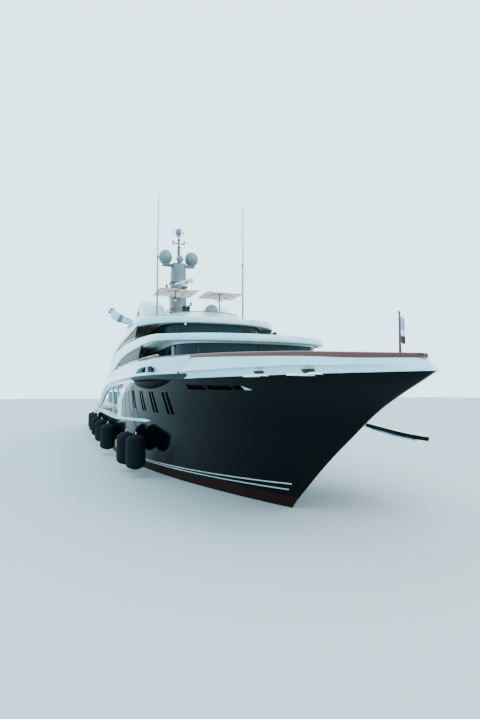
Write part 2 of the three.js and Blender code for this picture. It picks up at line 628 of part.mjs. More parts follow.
// Deckhouses: low walls, a header and posts in one piece, and a ring of glass inside them
const HOUSES = [
  // name, floor, ceiling, front x, aft x, half breadth, windows' sill and head, depth of the rounded front
  ["main_house", 3.48, 6.0, 8.2, -19, 4.35, 4.15, 5.6, 0.6],
  ["upper_house", 6.25, 8.45, 25.6, -15, 4.55, 6.95, 8.22, 3.2],
  ["bridge_house", 8.7, 10.6, 18.1, -7, 3.85, 9.25, 10.35, 3],
].map(([name, floor, roof, front, aft, half, sill, head, depth]) => (
  { name, floor, roof, front, aft, half, sill, head, depth, power: 3 }
));
const HOUSE_WALL = 0.16;
const GLASS_THICK = 0.05;
const POST = 0.14;

function housePath(h) {
  const nose = [0, 0.02, 0.07, 0.15, 0.26, 0.42, 0.65, 1].map((t) => h.front - t * h.depth);
  const half = nose.map((x) => [x, h.half * roundedFront(x, h.front, h.depth, h.power)]);
  for (let x = h.front - h.depth - 4; x > h.aft + 1; x -= 4) half.push([x, h.half]);
  half.push([h.aft + 0.4, h.half], [h.aft, h.half - 0.4]);
  return half;
}
function ringWall(half, inset, thick, z0, z1) {
  const outer = movedPath(bothSides(half), inset, true);
  return without(slab(outer, z0, z1), [slab(movedPath(outer, thick, true), z0 - 0.1, z1 + 0.1)]);
}
function posts(half, z0, z1) {
  const made = [];
  const path = bothSides(half);
  const step = 2.1;
  let run = 0;
  const length = (p, q) => Math.hypot(q[0] - p[0], q[1] - p[1]);
  const total = path.slice(1).reduce((sum, p, i) => sum + length(path[i], p), 0);
  const count = Math.round(total / step);
  const spacing = total / count;
  let next = 0;
  for (let i = 0; i + 1 < path.length; i++) {
    const [p, q] = [path[i], path[i + 1]];
    const here = length(p, q);
    while (next <= run + here + 1e-9 && made.length <= count) {
      const t = (next - run) / here;
      const g = block([-POST / 2, 0.01, z0], [POST / 2, HOUSE_WALL - 0.01, z1]);
      g.rotateZ(Math.atan2(q[1] - p[1], q[0] - p[0]));
      made.push(g.translate(p[0] + (q[0] - p[0]) * t, p[1] + (q[1] - p[1]) * t, 0));
      next += spacing;
    }
    run += here;
  }
  return made;
}
function house(h) {
  const half = housePath(h);
  const skin = ringWall(half, 0, HOUSE_WALL, h.floor + SEAT, h.roof - SEAT);
  const inset = movedPath(bothSides(half), -0.2);
  const cutOuter = slab(inset, h.sill, h.head);
  const cutInner = slab(movedPath(bothSides(half), HOUSE_WALL + 0.1), h.sill - 0.1, h.head + 0.1);
  const aftWall = block([h.aft - 5, -20, h.sill - 0.5], [h.aft + 0.6, 20, h.head + 0.5]);
  const cut = solidOf(cutOuter).subtract(solidOf(cutInner)).subtract(solidOf(aftWall));
  const doorway = block([h.aft - 1, -1.6, h.floor + 0.05], [h.aft + 0.8, 1.6, h.head]);
  const frame = solidOf(skin).subtract(cut);
  const withPosts = posts(half, h.sill - 0.02, h.head + 0.02).reduce((s, g) => s.add(solidOf(g)), frame);
  return geometryOf(withPosts.subtract(solidOf(doorway)));
}
const glassRing = (h) => ringWall(housePath(h), HOUSE_WALL + SEAT, GLASS_THICK, h.sill - 0.1, h.head + 0.1);

// Glass screens that fill the gap between two bands on each side
const DOWNWARD = UPWARD.map(([x, y, z]) => [x, y, -z]);
function lensScreen(low, high, from, to, lower, upper) {
  const xs = STATIONS.filter((x) => x < from && x > to);
  const rows = [from, ...xs, to].map((x) => {
    const [z0, z1] = [low(x) - LAP, high(x) + LAP];
    const y = (z) => sideLine(x) - lean(z) - BAND.thick * 0.12;
    return [
      vec(x, y(z0), z0),
      vec(x, y(z1), z1),
      vec(x, y(z1) - GLASS_THICK, z1),
      vec(x, y(z0) - GLASS_THICK, z0),
    ];
  });
  return mainBody(seated(seated(loft(rows), lower, UPWARD), upper, DOWNWARD));
}

// Roof casings on the sun deck, one each side of the mast
const CASING = { inner: 2.15, outer: 4.1, middle: 7.6 };
const CASING_SIDE = [
  [11.4, 0], [11.1, 0.65], [10.4, 1.35], [9.4, 2.05], [8.2, 2.65], [7.2, 2.9], [6.3, 2.85], [5.5, 2.4],
  [4.8, 1.4], [4.5, 0],
];
const casing = (() => {
  const { inner, outer, middle } = CASING;
  const ring = (y, squeeze) => CASING_SIDE.map(([x, up]) => (
    vec(middle + (x - middle) * squeeze, y, DECK.sun + SEAT + up * squeeze)
  ));
  return loft([ring(inner, 0.82), ring(inner + 0.25, 0.95), ring(inner + 0.7, 1), ring(outer - 0.7, 1),
    ring(outer - 0.25, 0.95), ring(outer, 0.82)]);
})();

// Mast: a tapered tower, arms for the two large radomes, a bracket for the scanner and a pole on top
const MAST = { x: 5.1, top: 18.05, armZ: 18.0, domeY: 1.3, domeRadius: 0.65, scanner: [7.35, 15.75] };
const oblong = (x0, x1, y, z, cut = 0.2) => [
  vec(x1, y - cut, z), vec(x1 - cut, y, z), vec(x0 + cut, y, z), vec(x0, y - cut, z),
  vec(x0, cut - y, z), vec(x0 + cut, -y, z), vec(x1 - cut, -y, z), vec(x1, cut - y, z),
];
const mastTower = joined([
  loft([
    oblong(3.6, 6.2, 0.86, DECK.sun + SEAT), oblong(3.9, 5.95, 0.8, 13), oblong(4.3, 5.75, 0.72, 17),
    oblong(4.4, 5.7, 0.66, MAST.top),
  ]),
  block([4.8, -MAST.domeY - 0.25, MAST.armZ - 0.2], [5.4, MAST.domeY + 0.25, MAST.armZ]),
  block([5.2, -0.3, MAST.scanner[1] - 0.55], [MAST.scanner[0] + 0.3, 0.3, MAST.scanner[1] - 0.35]),
]);
const MAST_BALL = vec(MAST.x, 0, 20.92);
const mastPole = joined([
  bar(vec(MAST.x, 0, MAST.top + SEAT), vec(MAST.x, 0, 21.1), 0.13, 0.07, 10),
  block([MAST.x - 0.06, -0.58, 20.05], [MAST.x + 0.06, 0.58, 20.17]),
  turned([[0, 0], [0.2, 0.07], [0.29, 0.3], [0.29, 0.44], [0.18, 0.66], [0, 0.74]], MAST_BALL, 12),
]);
const DOME_PROFILE = [
  [0, 0], [0.55, 0], [0.62, 0.12], [0.94, 0.5], [1, 0.95], [0.94, 1.4], [0.72, 1.8], [0.4, 2.02], [0, 2.1],
];
const radome = (x, y, z, size) => {
  const rows = DOME_PROFILE.map(([r, h]) => [r * size, h * size]);
  return turned(rows, vec(x, y, z), 20);
};
const scanner = joined([
  turned([[0, 0], [0.2, 0], [0.2, 0.25], [0.12, 0.34], [0, 0.34]], vec(0, 0, 0), 12),
  block([-1.45, -0.09, 0.3], [1.45, 0.09, 0.52]),
]);

const DOME = { x: 13.2, y: 0.92, low: 11.55, size: 0.55 };
const smallDome = joined([
  radome(DOME.x, DOME.y, DOME.low, DOME.size),
  bar(vec(DOME.x, DOME.y, DECK.sun + SEAT), vec(DOME.x, DOME.y, DOME.low + LAP), 0.1, 0.1, 10),
]);

// Parasols on the fore part of the sun deck
const PARASOL = { x: 12.3, y: 1.9, top: 13.9, half: 1.38 };
function parasol(y) {
  const { x, top, half } = PARASOL;
  const pole = bar(vec(x, y, DECK.sun + SEAT), vec(x, y, top - 0.1), 0.045, 0.045, 8);
  const corners = [[1, -1], [1, 1], [-1, 1], [-1, -1]];
  const edge = (z, h) => corners.map(([a, b]) => vec(x + a * h, y + b * h, z));
  return joined([pole, loft([edge(top - 0.28, half), edge(top - 0.2, half), edge(top, 0.12)])]);
}
const whip = joined([
  bar(vec(13.4, 3.6, DECK.sun + SEAT), vec(13.4, 3.6, 16.2), 0.06, 0.05, 8),
  bar(vec(13.4, 3.6, 16.1), vec(13.4, 3.6, 21.3), 0.035, 0.02, 8),
]);
const windRail = (() => {
  const front = [0, 0.03, 0.12, 0.25, 0.45, 0.7, 1].map((t) => 16.2 - t * 3.4);
  const half = [...front.map((x) => [x, 3 * roundedFront(x, 16.2, 3.4, 2.4)]), [12, 3.03]];
  return wall(bothSides(half).map(([x, y]) => [x, y, DECK.sun + SEAT, 11.6]), 0.05);
})();

// Deck crane on the starboard edge of the sun deck
const CRANE = { base: [6.4, -4.82], pivotZ: 11.95 };
const CRANE_PIN = { radius: 0.05, sides: 24 };
const [craneX, craneY] = CRANE.base;
const cranePivot = vec(craneX, craneY + 0.12, CRANE.pivotZ);
const cranePin = (radius, half) => {
  const [from, to] = [-half, half].map((x) => cranePivot.clone().add(vec(x, 0, 0)));
  return bar(from, to, radius, radius, CRANE_PIN.sides);
};
const cranePost = joined([
  bar(vec(craneX, craneY, DECK.sun + SEAT), vec(craneX, craneY, 11.6), 0.2, 0.18, 12),
  block([craneX - 0.22, craneY - 0.06, 11.5], [craneX - 0.1, craneY + 0.3, 12.1]),
  block([craneX + 0.1, craneY - 0.06, 11.5], [craneX + 0.22, craneY + 0.3, 12.1]),
  cranePin(CRANE_PIN.radius, 0.2),
]);
const craneBoom = (() => {
  const direction = vec(0, -1.9, 1.25).normalize();
  const ring = (along, w, h) => {
    const p = cranePivot.clone().addScaledVector(direction, along);
    const up = vec(0, -direction.z, -direction.y).normalize();
    const c = (a, b) => vec(p.x + a, p.y + up.y * b, p.z + up.z * b);
    return [c(-w, -h), c(w, -h), c(w, h), c(-w, h)];
  };
  const arm = loft([ring(-0.12, 0.09, 0.12), ring(1.2, 0.09, 0.19), ring(2.5, 0.07, 0.1)]);
  const hole = CRANE_PIN.radius / Math.cos(Math.PI / CRANE_PIN.sides) + 0.0002;
  return without(arm, [cranePin(hole, 0.3)]);
})();

// Jackstaff with its plain flag
const jackstaff = bar(vec(37.6, 0, DECK.upper + SEAT), vec(37.6, 0, 8.15), 0.05, 0.03, 8);
const flag = loft([8.05, 7.17].map((z) => [
  vec(37.6, 0.051, z), vec(37.6, 0.071, z), vec(37.38, 0.321, z), vec(37.38, 0.301, z),
]));

// Fenders along the starboard side, hung just clear of the plating
const FENDER = { radius: 0.65, low: 0.45, high: 2.75, at: [18.3, 15.8, 6.2, -1, -8, -15, -21] };
const hullAndRail = solidOf(hullTopside).add(solidOf(rubRail));
function fender(x) {
  const { radius: r, low, high } = FENDER;
  const height = high - low;
  const end = [[0, 0], [r * 0.45, 0.02], [r * 0.85, 0.16], [r, 0.45]];
  const rows = [...end, ...end.map(([wide, z]) => [wide, height - z]).reverse()];
  const made = turned(rows, vec(x, -(halfBreadth(x, high) + r), low), 18);
  let [touching, clear] = [0.4, -0.4];
  for (let step = 0; step < 14; step++) {
    const middle = (touching + clear) / 2;
    const meets = solidOf(made.clone().translate(0, middle, 0)).intersect(hullAndRail).volume() > 1e-9;
    if (meets) touching = middle;
    else clear = middle;
  }
  return made.translate(0, clear - SEAT, 0);
}

// Underwater gear: shafts with their brackets, propellers and rudders
const SHAFT = { y: 1.95, z: -2.45, aft: -29.2, fore: -19 };
const PROP = { radius: 1.05, blades: 5, ahead: 0.3 };
const shaftLine = joined([
  bar(vec(SHAFT.fore, SHAFT.y, SHAFT.z), vec(SHAFT.aft, SHAFT.y, SHAFT.z), 0.24, 0.24, 12),
  loft([
    [vec(-28.3, 1.9, -2.4), vec(-28.3, 2.0, -2.4), vec(-29.0, 2.0, -2.4), vec(-29.0, 1.9, -2.4)],
    [vec(-28.0, 1.5, -0.9), vec(-28.0, 1.62, -0.9), vec(-28.7, 1.62, -0.9), vec(-28.7, 1.5, -0.9)],
  ]),
  bar(vec(-32.4, SHAFT.y, -1.5), vec(-32.4, SHAFT.y, -0.5), 0.34, 0.34, 12),
]);
const hullBelow = joined([hullBottom, shaftLine, mirrored(shaftLine)]);
const propeller = (() => {
  const { ahead } = PROP;
  const hubRows = [[0, -0.45], [0.12, -0.42], [0.22, -0.2], [0.25, 0.1], [0.25, ahead], [0, ahead]];
  const hub = turned(hubRows, vec(0, 0, 0), 14);
  hub.rotateY(Math.PI / 2);
  const blades = Array.from({ length: PROP.blades }, (_, i) => {
    const ring = (r, half, twist) => {
      const [c, s] = [Math.cos(twist), Math.sin(twist)];
      return [[half, 0.025], [-half, 0.025], [-half, -0.025], [half, -0.025]].map(([a, b]) =>
        vec(a * s + b * c, a * c - b * s, r));
    };
    const tip = ring(PROP.radius, 0.14, 0.4);
    const blade = loft([ring(0.15, 0.2, 0.95), ring(0.5, 0.36, 0.7), ring(0.85, 0.34, 0.5), tip]);
    return blade.rotateX((i * 2 * Math.PI) / PROP.blades);
  });
  return joined([hub, ...blades]);
})();
const rudder = (() => {
  const section = (z, fore, aft, half) => {
    const side = [[fore, 0], [-32.2, half], [aft, 0.02], [aft, -0.02], [-32.2, -half]];
    return side.map(([x, y]) => vec(x, SHAFT.y + y, z));
  };
  const stock = bar(vec(-32.4, SHAFT.y, -1.5 - SEAT), vec(-32.4, SHAFT.y, -1.9), 0.16, 0.16, 12);
  return joined([stock, loft([section(-1.75, -31.7, -33.6, 0.15), section(-3.4, -31.8, -33.3, 0.1)])]);
})();

// The model
const root = new THREE.Group();
root.scale.setScalar(MODEL_MM_PER_METRE);
function add(name, geometry, material, place = root) {
  const mesh = new THREE.Mesh(geometry, material);
  mesh.name = name;
  place.add(mesh);
  return mesh;
}
const SIDES = [["stbd", -1], ["port", 1]];
const onSide = (geometry, side) => (side > 0 ? geometry : mirrored(geometry));

add("hull_bottom", hullBelow, ANTIFOUL);
add("hull_topside", hullTopside, NAVY);
add("rub_rail", rubRail, WHITE);
add("stern_platform", sternPlatform, WHITE);
add("main_deck", mainDeck, TEAK);
add("foredeck", foredeck, TEAK);
add("upper_deck", upperAft, WHITE);
add("bridge_deck", bridgeSlab, WHITE);
add("sun_deck", sunSlab, WHITE);
add("bulwark_band", bulwarkBand, WHITE);
add("bridge_band", bridgeBand, WHITE);
add("sun_band", sunBand, WHITE);
add("cap_rail", capRail, VARNISH);
for (const h of HOUSES) {
  add(h.name + "_wall", house(h), WHITE);
  add(h.name + "_glass", glassRing(h), GLASS);
}
const lowerScreen = lensScreen(band1High, band2Low, 19.5, 8.9, bulwarkBand, bridgeBand);
const upperScreen = lensScreen(band2High, band3Low, 16, 4.1, bridgeBand, sunBand);
for (const [side, sign] of SIDES) {
  add("lower_screen_" + side, onSide(lowerScreen, sign), GLASS);
  add("upper_screen_" + side, onSide(upperScreen, sign), GLASS);
}
add("casing_stbd", mirrored(casing), WHITE);
add("casing_port", casing, WHITE);
add("mast_tower", mastTower, GREY);
add("mast_pole", mastPole, GREY);
const propellerX = SHAFT.aft - PROP.ahead - SEAT;
for (const [side, sign] of SIDES) {
  add("radome_" + side, radome(MAST.x, sign * MAST.domeY, MAST.armZ + SEAT, MAST.domeRadius), GREY);
  add("parasol_" + side, parasol(sign * PARASOL.y), CANVAS);
  add("whip_" + side, onSide(whip, sign), WHITE);
  add("propeller_" + side, propeller.clone().translate(propellerX, sign * SHAFT.y, SHAFT.z), BRONZE);
  add("rudder_" + side, onSide(rudder, sign), ANTIFOUL);
}
add("small_dome", smallDome, GREY);
const [scannerX, scannerZ] = MAST.scanner;
add("radar_scanner", scanner.clone().rotateZ(0.34).translate(scannerX, 0, scannerZ - 0.35 + SEAT), WHITE);
add("wind_rail", windRail, GLASS);
add("crane_post", cranePost, WHITE);
add("crane_boom", craneBoom, WHITE);
add("jackstaff", jackstaff, VARNISH);
add("flag", flag, CANVAS);
FENDER.at.forEach((x, i) => add("fender_" + (i + 1), fender(x), RUBBER));
add("shell_door", shellDoor, NAVY);
add("transom_door", transomDoor, NAVY);

export default root;
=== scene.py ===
# The looks of a motor yacht of 78.4 m, built as a half-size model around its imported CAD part.
# Every size below is in metres of the yacht itself, and each finished piece is halved to the model's size.
import math

import bmesh
import bpy
from mathutils import Matrix, Vector


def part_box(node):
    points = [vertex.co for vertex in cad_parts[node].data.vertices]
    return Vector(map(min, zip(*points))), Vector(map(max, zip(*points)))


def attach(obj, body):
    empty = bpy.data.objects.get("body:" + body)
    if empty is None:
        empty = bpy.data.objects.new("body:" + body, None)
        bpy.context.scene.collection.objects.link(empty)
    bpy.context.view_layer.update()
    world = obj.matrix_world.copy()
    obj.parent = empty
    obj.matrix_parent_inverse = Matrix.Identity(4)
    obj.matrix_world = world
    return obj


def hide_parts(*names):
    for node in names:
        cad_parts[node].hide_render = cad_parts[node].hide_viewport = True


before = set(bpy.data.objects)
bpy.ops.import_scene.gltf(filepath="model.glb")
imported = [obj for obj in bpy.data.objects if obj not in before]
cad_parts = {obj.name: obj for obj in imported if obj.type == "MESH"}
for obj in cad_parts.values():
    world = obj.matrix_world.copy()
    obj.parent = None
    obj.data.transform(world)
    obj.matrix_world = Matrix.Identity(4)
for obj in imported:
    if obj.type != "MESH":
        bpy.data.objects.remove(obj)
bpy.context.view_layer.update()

HALF = 0.5  # the model's size against the yacht's
SIDES = ((-1, "stbd"), (1, "port"))

# Materials


def linear(hex_colour):
    """An sRGB hex colour as the linear numbers that a shader takes."""
    parts = [int(hex_colour[i : i + 2], 16) / 255 for i in (1, 3, 5)]
    return tuple(c / 12.92 if c <= 0.04045 else ((c + 0.055) / 1.055) ** 2.4 for c in parts) + (1.0,)


def finish_of(name, colour, roughness, **values):
    """A material with a principled shader, whose sockets take the values given."""
    material = bpy.data.materials.new(name)
    material.use_nodes = True
    shader = material.node_tree.nodes["Principled BSDF"]
    shader.inputs["Base Color"].default_value = linear(colour)
    shader.inputs["Roughness"].default_value = roughness
    for socket, value in values.items():
        shader.inputs[socket.replace("_", " ")].default_value = value
    material.diffuse_color = linear(colour)
    return material


def add_node(material, kind, sockets=None, links=None, **settings):
    """One more node: its own settings, the values of its sockets, and the outputs that feed them."""
    node = material.node_tree.nodes.new(kind)
    for name, value in settings.items():
        setattr(node, name, value)
    for socket, value in (sockets or {}).items():
        node.inputs[socket].default_value = value
    for socket, source in (links or {}).items():
        material.node_tree.links.new(source, node.inputs[socket])
    return node


def feed(material, **sources):
    """Links outputs to the shader's sockets."""
    shader = material.node_tree.nodes["Principled BSDF"]
    for socket, source in sources.items():
        material.node_tree.links.new(source, shader.inputs[socket.replace("_", " ")])


def toned(name, colour, roughness, tones, scale, depth=0.0, detail=5.0, strength=0.3, stretch=None, **values):
    """A finish that drifts between two tones in patches, with a relief where it has a depth."""
    material = finish_of(name, colour, roughness, **values)
    place = add_node(material, "ShaderNodeTexCoord").outputs["Object"]
    if stretch:
        drawn = add_node(material, "ShaderNodeMapping", {"Scale": stretch}, {"Vector": place})
        place = drawn.outputs["Vector"]
    sockets = {"Scale": scale, "Detail": detail}
    patches = add_node(material, "ShaderNodeTexNoise", sockets, {"Vector": place}).outputs["Fac"]
    ends = {6: linear(tones[0]), 7: linear(tones[1])}
    tone = add_node(material, "ShaderNodeMix", ends, {0: patches}, data_type="RGBA").outputs[2]
    feed(material, Base_Color=tone)
    if depth:
        sockets = {"Strength": strength, "Distance": depth}
        feed(material, Normal=add_node(material, "ShaderNodeBump", sockets, {"Height": patches}).outputs[0])
    return material


def woven(name, colour, roughness, tones, thread, depth, **values):
    """A cloth with crossed ribs and patches of faded tone."""
    material = toned(name, colour, roughness, tones, 2.0, detail=3.0, **values)
    place = add_node(material, "ShaderNodeTexCoord").outputs["Object"]
    ribs = {}
    for socket, direction in enumerate(("DIAGONAL", "Z")):
        ribs[socket] = add_node(
            material, "ShaderNodeTexWave", {"Scale": 1 / thread / 2}, {"Vector": place},
            bands_direction=direction, wave_profile="SIN",
        ).outputs["Fac"]
    weave = add_node(material, "ShaderNodeMath", links=ribs, operation="MULTIPLY").outputs[0]
    sockets = {"Strength": 0.5, "Distance": depth}
    feed(material, Normal=add_node(material, "ShaderNodeBump", sockets, {"Height": weave}).outputs[0])
    return material


# Polyurethane enamel, sprayed over faired plating and polished: a deep mirror with a faint waviness.
# The two stripes lie at a height on the model that grows with the cube of x, and end along a raked line.
NAVY = finish_of("navy_polyurethane_enamel", "#02060a", 0.09, Specular_IOR_Level=0.05)
STRIPES = [(0.33, 4.55e-5), (0.37, 7.86e-5)]  # height amidships and growth
STRIPE_HALF, STRIPE_FRONT, STRIPE_RAKE = 0.015, 14.42, 1.2


def paint_navy():
    place = add_node(NAVY, "ShaderNodeTexCoord").outputs["Object"]
    axes = add_node(NAVY, "ShaderNodeSeparateXYZ", links={0: place}).outputs
    fore = add_node(NAVY, "ShaderNodeMath", {1: 0.0}, {0: axes["X"]}, operation="MAXIMUM").outputs[0]
    cube = add_node(NAVY, "ShaderNodeMath", {1: 3.0}, {0: fore}, operation="POWER").outputs[0]
    bands = {}
    for socket, (height, growth) in enumerate(STRIPES):
        climb = {1: growth, 2: height}
        middle = add_node(NAVY, "ShaderNodeMath", climb, {0: cube}, operation="MULTIPLY_ADD").outputs[0]
        sides = {0: axes["Z"], 1: middle}
        near = add_node(NAVY, "ShaderNodeMath", {2: STRIPE_HALF}, sides, operation="COMPARE")
        bands[socket] = near.outputs[0]
    either = add_node(NAVY, "ShaderNodeMath", links=bands, operation="MAXIMUM").outputs[0]
    raked = {1: STRIPE_RAKE, 2: STRIPE_FRONT}
    front = add_node(NAVY, "ShaderNodeMath", raked, {0: axes["Z"]}, operation="MULTIPLY_ADD").outputs[0]
    abaft = add_node(NAVY, "ShaderNodeMath", links={0: axes["X"], 1: front}, operation="LESS_THAN").outputs[0]
    stripe = add_node(NAVY, "ShaderNodeMath", links={0: either, 1: abaft}, operation="MULTIPLY").outputs[0]
    sockets = {"Scale": 0.35, "Detail": 2.0}
    deeper = add_node(NAVY, "ShaderNodeTexNoise", sockets, {"Vector": place}).outputs["Fac"]
    tones = {6: linear("#010305"), 7: linear("#02070b")}
    tone = add_node(NAVY, "ShaderNodeMix", tones, {0: deeper}, data_type="RGBA").outputs[2]
    links = {0: stripe, 6: tone}
    colour = add_node(NAVY, "ShaderNodeMix", {7: linear("#b4bfc4")}, links, data_type="RGBA").outputs[2]
    stretch = {"Scale": (1.0, 1.0, 0.35)}
    drawn = add_node(NAVY, "ShaderNodeMapping", stretch, {"Vector": place}).outputs["Vector"]
    sockets = {"Scale": 1.1, "Detail": 1.0}
    waves = add_node(NAVY, "ShaderNodeTexNoise", sockets, {"Vector": drawn}).outputs["Fac"]
    sockets = {"Strength": 0.35, "Distance": 0.004}
    bump = add_node(NAVY, "ShaderNodeBump", sockets, {"Height": waves}).outputs[0]
    feed(NAVY, Base_Color=colour, Normal=bump)


paint_navy()

# Copper-free antifouling, rolled on: matt dark red in browner and redder patches
ANTIFOULING = toned(
    "rolled_antifouling_paint", "#451618", 0.6, ("#160505", "#240a0a"), 3.0, 0.001, detail=6.0, strength=0.4,
    Specular_IOR_Level=0.1,
)
# White polyurethane enamel over aluminium: clean gloss with a trace of rain streaks. Its tones are painted
# shade: a cool blue-grey well below white, for white paint in skylit shade.
WHITE = toned(
    "white_enamel_with_painted_shade", "#b6d5de", 0.2, ("#84bac9", "#9cccd9"), 1.0, detail=4.0,
    stretch=(2.2, 2.2, 0.4), Coat_Weight=0.4, Coat_Roughness=0.05,
)

# Teak decking, laid fore and aft with black caulking. A plank is 35 mm on the model, drawn here at 90 mm so
# that it shows. Faces that don't look up are white enamel, as a deck's edge and its underside are.
TEAK = finish_of("laid_teak_and_caulking", "#b08a61", 0.7)
PLANK, CAULKING = 0.09, 0.12  # a plank's breadth, and the share of it that is caulking


def paint_teak():
    place = add_node(TEAK, "ShaderNodeTexCoord").outputs["Object"]
    axes = add_node(TEAK, "ShaderNodeSeparateXYZ", links={0: place}).outputs
    across = add_node(TEAK, "ShaderNodeMath", {1: 1 / PLANK}, {0: axes["Y"]}, operation="MULTIPLY").outputs[0]
    plank = add_node(TEAK, "ShaderNodeMath", links={0: across}, operation="FLOOR").outputs[0]
    within = add_node(TEAK, "ShaderNodeMath", links={0: across}, operation="FRACT").outputs[0]
    seam = add_node(TEAK, "ShaderNodeMath", {1: CAULKING}, {0: within}, operation="LESS_THAN").outputs[0]
    random = add_node(TEAK, "ShaderNodeTexWhiteNoise", links={"W": plank}, noise_dimensions="1D")
    tone = random.outputs["Value"]
    stretch = {"Scale": (1.5, 40.0, 1.0)}
    drawn = add_node(TEAK, "ShaderNodeMapping", stretch, {"Vector": place}).outputs["Vector"]
    sockets = {"Scale": 2.0, "Detail": 5.0}
    grain = add_node(TEAK, "ShaderNodeTexNoise", sockets, {"Vector": drawn}).outputs["Fac"]
    share = add_node(TEAK, "ShaderNodeMath", links={0: tone, 1: grain}, operation="MULTIPLY").outputs[0]
    tones = {6: linear("#9b7751"), 7: linear("#c6a47c")}
    wood = add_node(TEAK, "ShaderNodeMix", tones, {0: share}, data_type="RGBA").outputs[2]
    links = {0: seam, 6: wood}
    laid = add_node(TEAK, "ShaderNodeMix", {7: linear("#1c1a18")}, links, data_type="RGBA").outputs[2]
    facing = add_node(TEAK, "ShaderNodeNewGeometry").outputs["Normal"]
    up = add_node(TEAK, "ShaderNodeSeparateXYZ", links={0: facing}).outputs["Z"]
    top = add_node(TEAK, "ShaderNodeMath", {1: 0.5}, {0: up}, operation="GREATER_THAN").outputs[0]
    links = {0: top, 7: laid}
    colour = add_node(TEAK, "ShaderNodeMix", {6: linear("#dfe6e8")}, links, data_type="RGBA").outputs[2]
    feed(TEAK, Base_Color=colour)


paint_teak()

# Mahogany under many coats of varnish: red-brown grain under a clear coat
MAHOGANY = toned(
    "varnished_mahogany", "#6f2515", 0.35, ("#2c0603", "#5c1409"), 4.0, detail=6.0, stretch=(1.0, 9.0, 9.0),
    Coat_Weight=0.1, Coat_Roughness=0.06,
)
# Tinted window glass in front of dark cabins: near-black teal
GLASS = toned(
    "tinted_float_glass", "#04161b", 0.05, ("#01141a", "#08303a"), 0.7, detail=2.0, Specular_IOR_Level=0.1,
)
# Blackened glass of the small side lights: unlit behind, and dull beside the plating's gloss
DEADLIGHT = toned(
    "blackened_side_light_glass", "#010203", 0.5, ("#010203", "#020406"), 2.5, 0.0002, Specular_IOR_Level=0.03
)
# Smoked glass of the long screens between the decks, dark behind. Its warm brown is a painted reflection, and
# its own reflection is all but turned off.
SMOKED = toned(
    "smoked_glass_with_painted_reflection", "#1c1714", 0.3, ("#120e0c", "#2c231e"), 0.9, 0.0002, Specular_IOR_Level=0.01,
)
# Clear acrylic of the low wind screen: a faint blue-green that lets the deck show through
ACRYLIC = toned("clear_cast_acrylic", "#cfe3e6", 0.05, ("#c2dbdf", "#dcecee"), 1.5, 0.0001, Alpha=0.35)
# White enamel under a wing's belly, painted dark grey as painted shade and a painted reflection of the dark
# water below it
BELLY_PAINTED_SHADE = toned(
    "white_enamel_painted_belly_shade", "#1b2529", 0.35, ("#161f23", "#232e33"), 1.2, 0.0002, Specular_IOR_Level=0.1
)
# Polished plates that a mooring line runs over: bare and neutral beside the painted bulwark
CHAFING = toned("polished_chafing_plate", "#f0ebe6", 0.2, ("#ebe5df", "#faf7f4"), 9.0, 0.0002)
# Two-pack paint on the mast, satin grey with a slight blue cast. Its tones are darker than the paint's own
# grey, as painted shade.
MAST_GREY = toned("satin_grey_paint_with_painted_shade", "#8b9ba0", 0.38, ("#3c4b51", "#536369"), 2.5, 0.0004)
# Gelcoat on glassfibre domes: smooth satin grey, a little darker where dust settles. Its tones are darker
# than the gelcoat's own grey, as painted shade on the domes.
GELCOAT = toned("gelcoat_with_painted_shade", "#8496a0", 0.3, ("#465a62", "#61747c"), 1.6, 0.0003)
# Grey glassfibre rod of the whip aerials
FIBREGLASS = toned("pulled_glassfibre_rod", "#8d9192", 0.4, ("#5c6467", "#737b7e"), 3.0, 0.0002)
# Stainless steel 316, polished: rails, bollards, windlasses, hooks and hinge pins
STAINLESS = toned(
    "polished_stainless_steel", "#c6cacc", 0.14, ("#b9bec0", "#d3d6d8"), 12.0, 0.0002, Metallic=1.0,
)
# Nickel aluminium bronze, cast and ground: propellers and the jackstaff's knob
BRONZE = toned("cast_bronze", "#9c773a", 0.32, ("#7c5c2b", "#b08a48"), 5.0, 0.001, Metallic=1.0)
# EPDM rubber, moulded: window gaskets and buffers. Black anodised lamps share its tone.
RUBBER = toned("moulded_black_rubber", "#101214", 0.6, ("#0b0c0d", "#17191b"), 20.0, 0.0004)
# Lamp glass, pressed and clear over a pale reflector
LAMP_GLASS = toned(
    "pressed_lamp_glass", "#dfe8ea", 0.08, ("#cfdadd", "#edf3f4"), 8.0, 0.0005, Coat_Weight=1.0,
)

# Knitted fender covers over inflated rubber: dark navy pile. A stitch is about 6 mm, drawn at 40 mm so
# that it shows.
FENDER_KNIT = woven(
    "knitted_fender_cover", "#050d16", 0.95, ("#02070d", "#07111d"), 0.04, 0.002, Specular_IOR_Level=0.2
)
# Acrylic canvas, woven and solution dyed: parasols. A thread is 1 mm, drawn at 12 mm.
CANVAS = woven(
    "woven_acrylic_canvas", "#f6ebe6", 0.9, ("#f1e2dc", "#fcf5f1"), 0.012, 0.0008,
    Subsurface_Weight=0.6, Subsurface_Scale=0.02, Subsurface_Radius=(1.0, 0.85, 0.8),
)
# Rope, three strands of laid polyester
ROPE = woven("laid_polyester_rope", "#1b2530", 0.85, ("#131b24", "#26323f"), 0.02, 0.0015)

# Knitted polyester flag cloth in plain fields of blue, white and navy, drawn on the flag's own map
FLAG_CLOTH = finish_of("knitted_flag_cloth", "#7fb0cf", 0.85, Sheen_Weight=0.2)


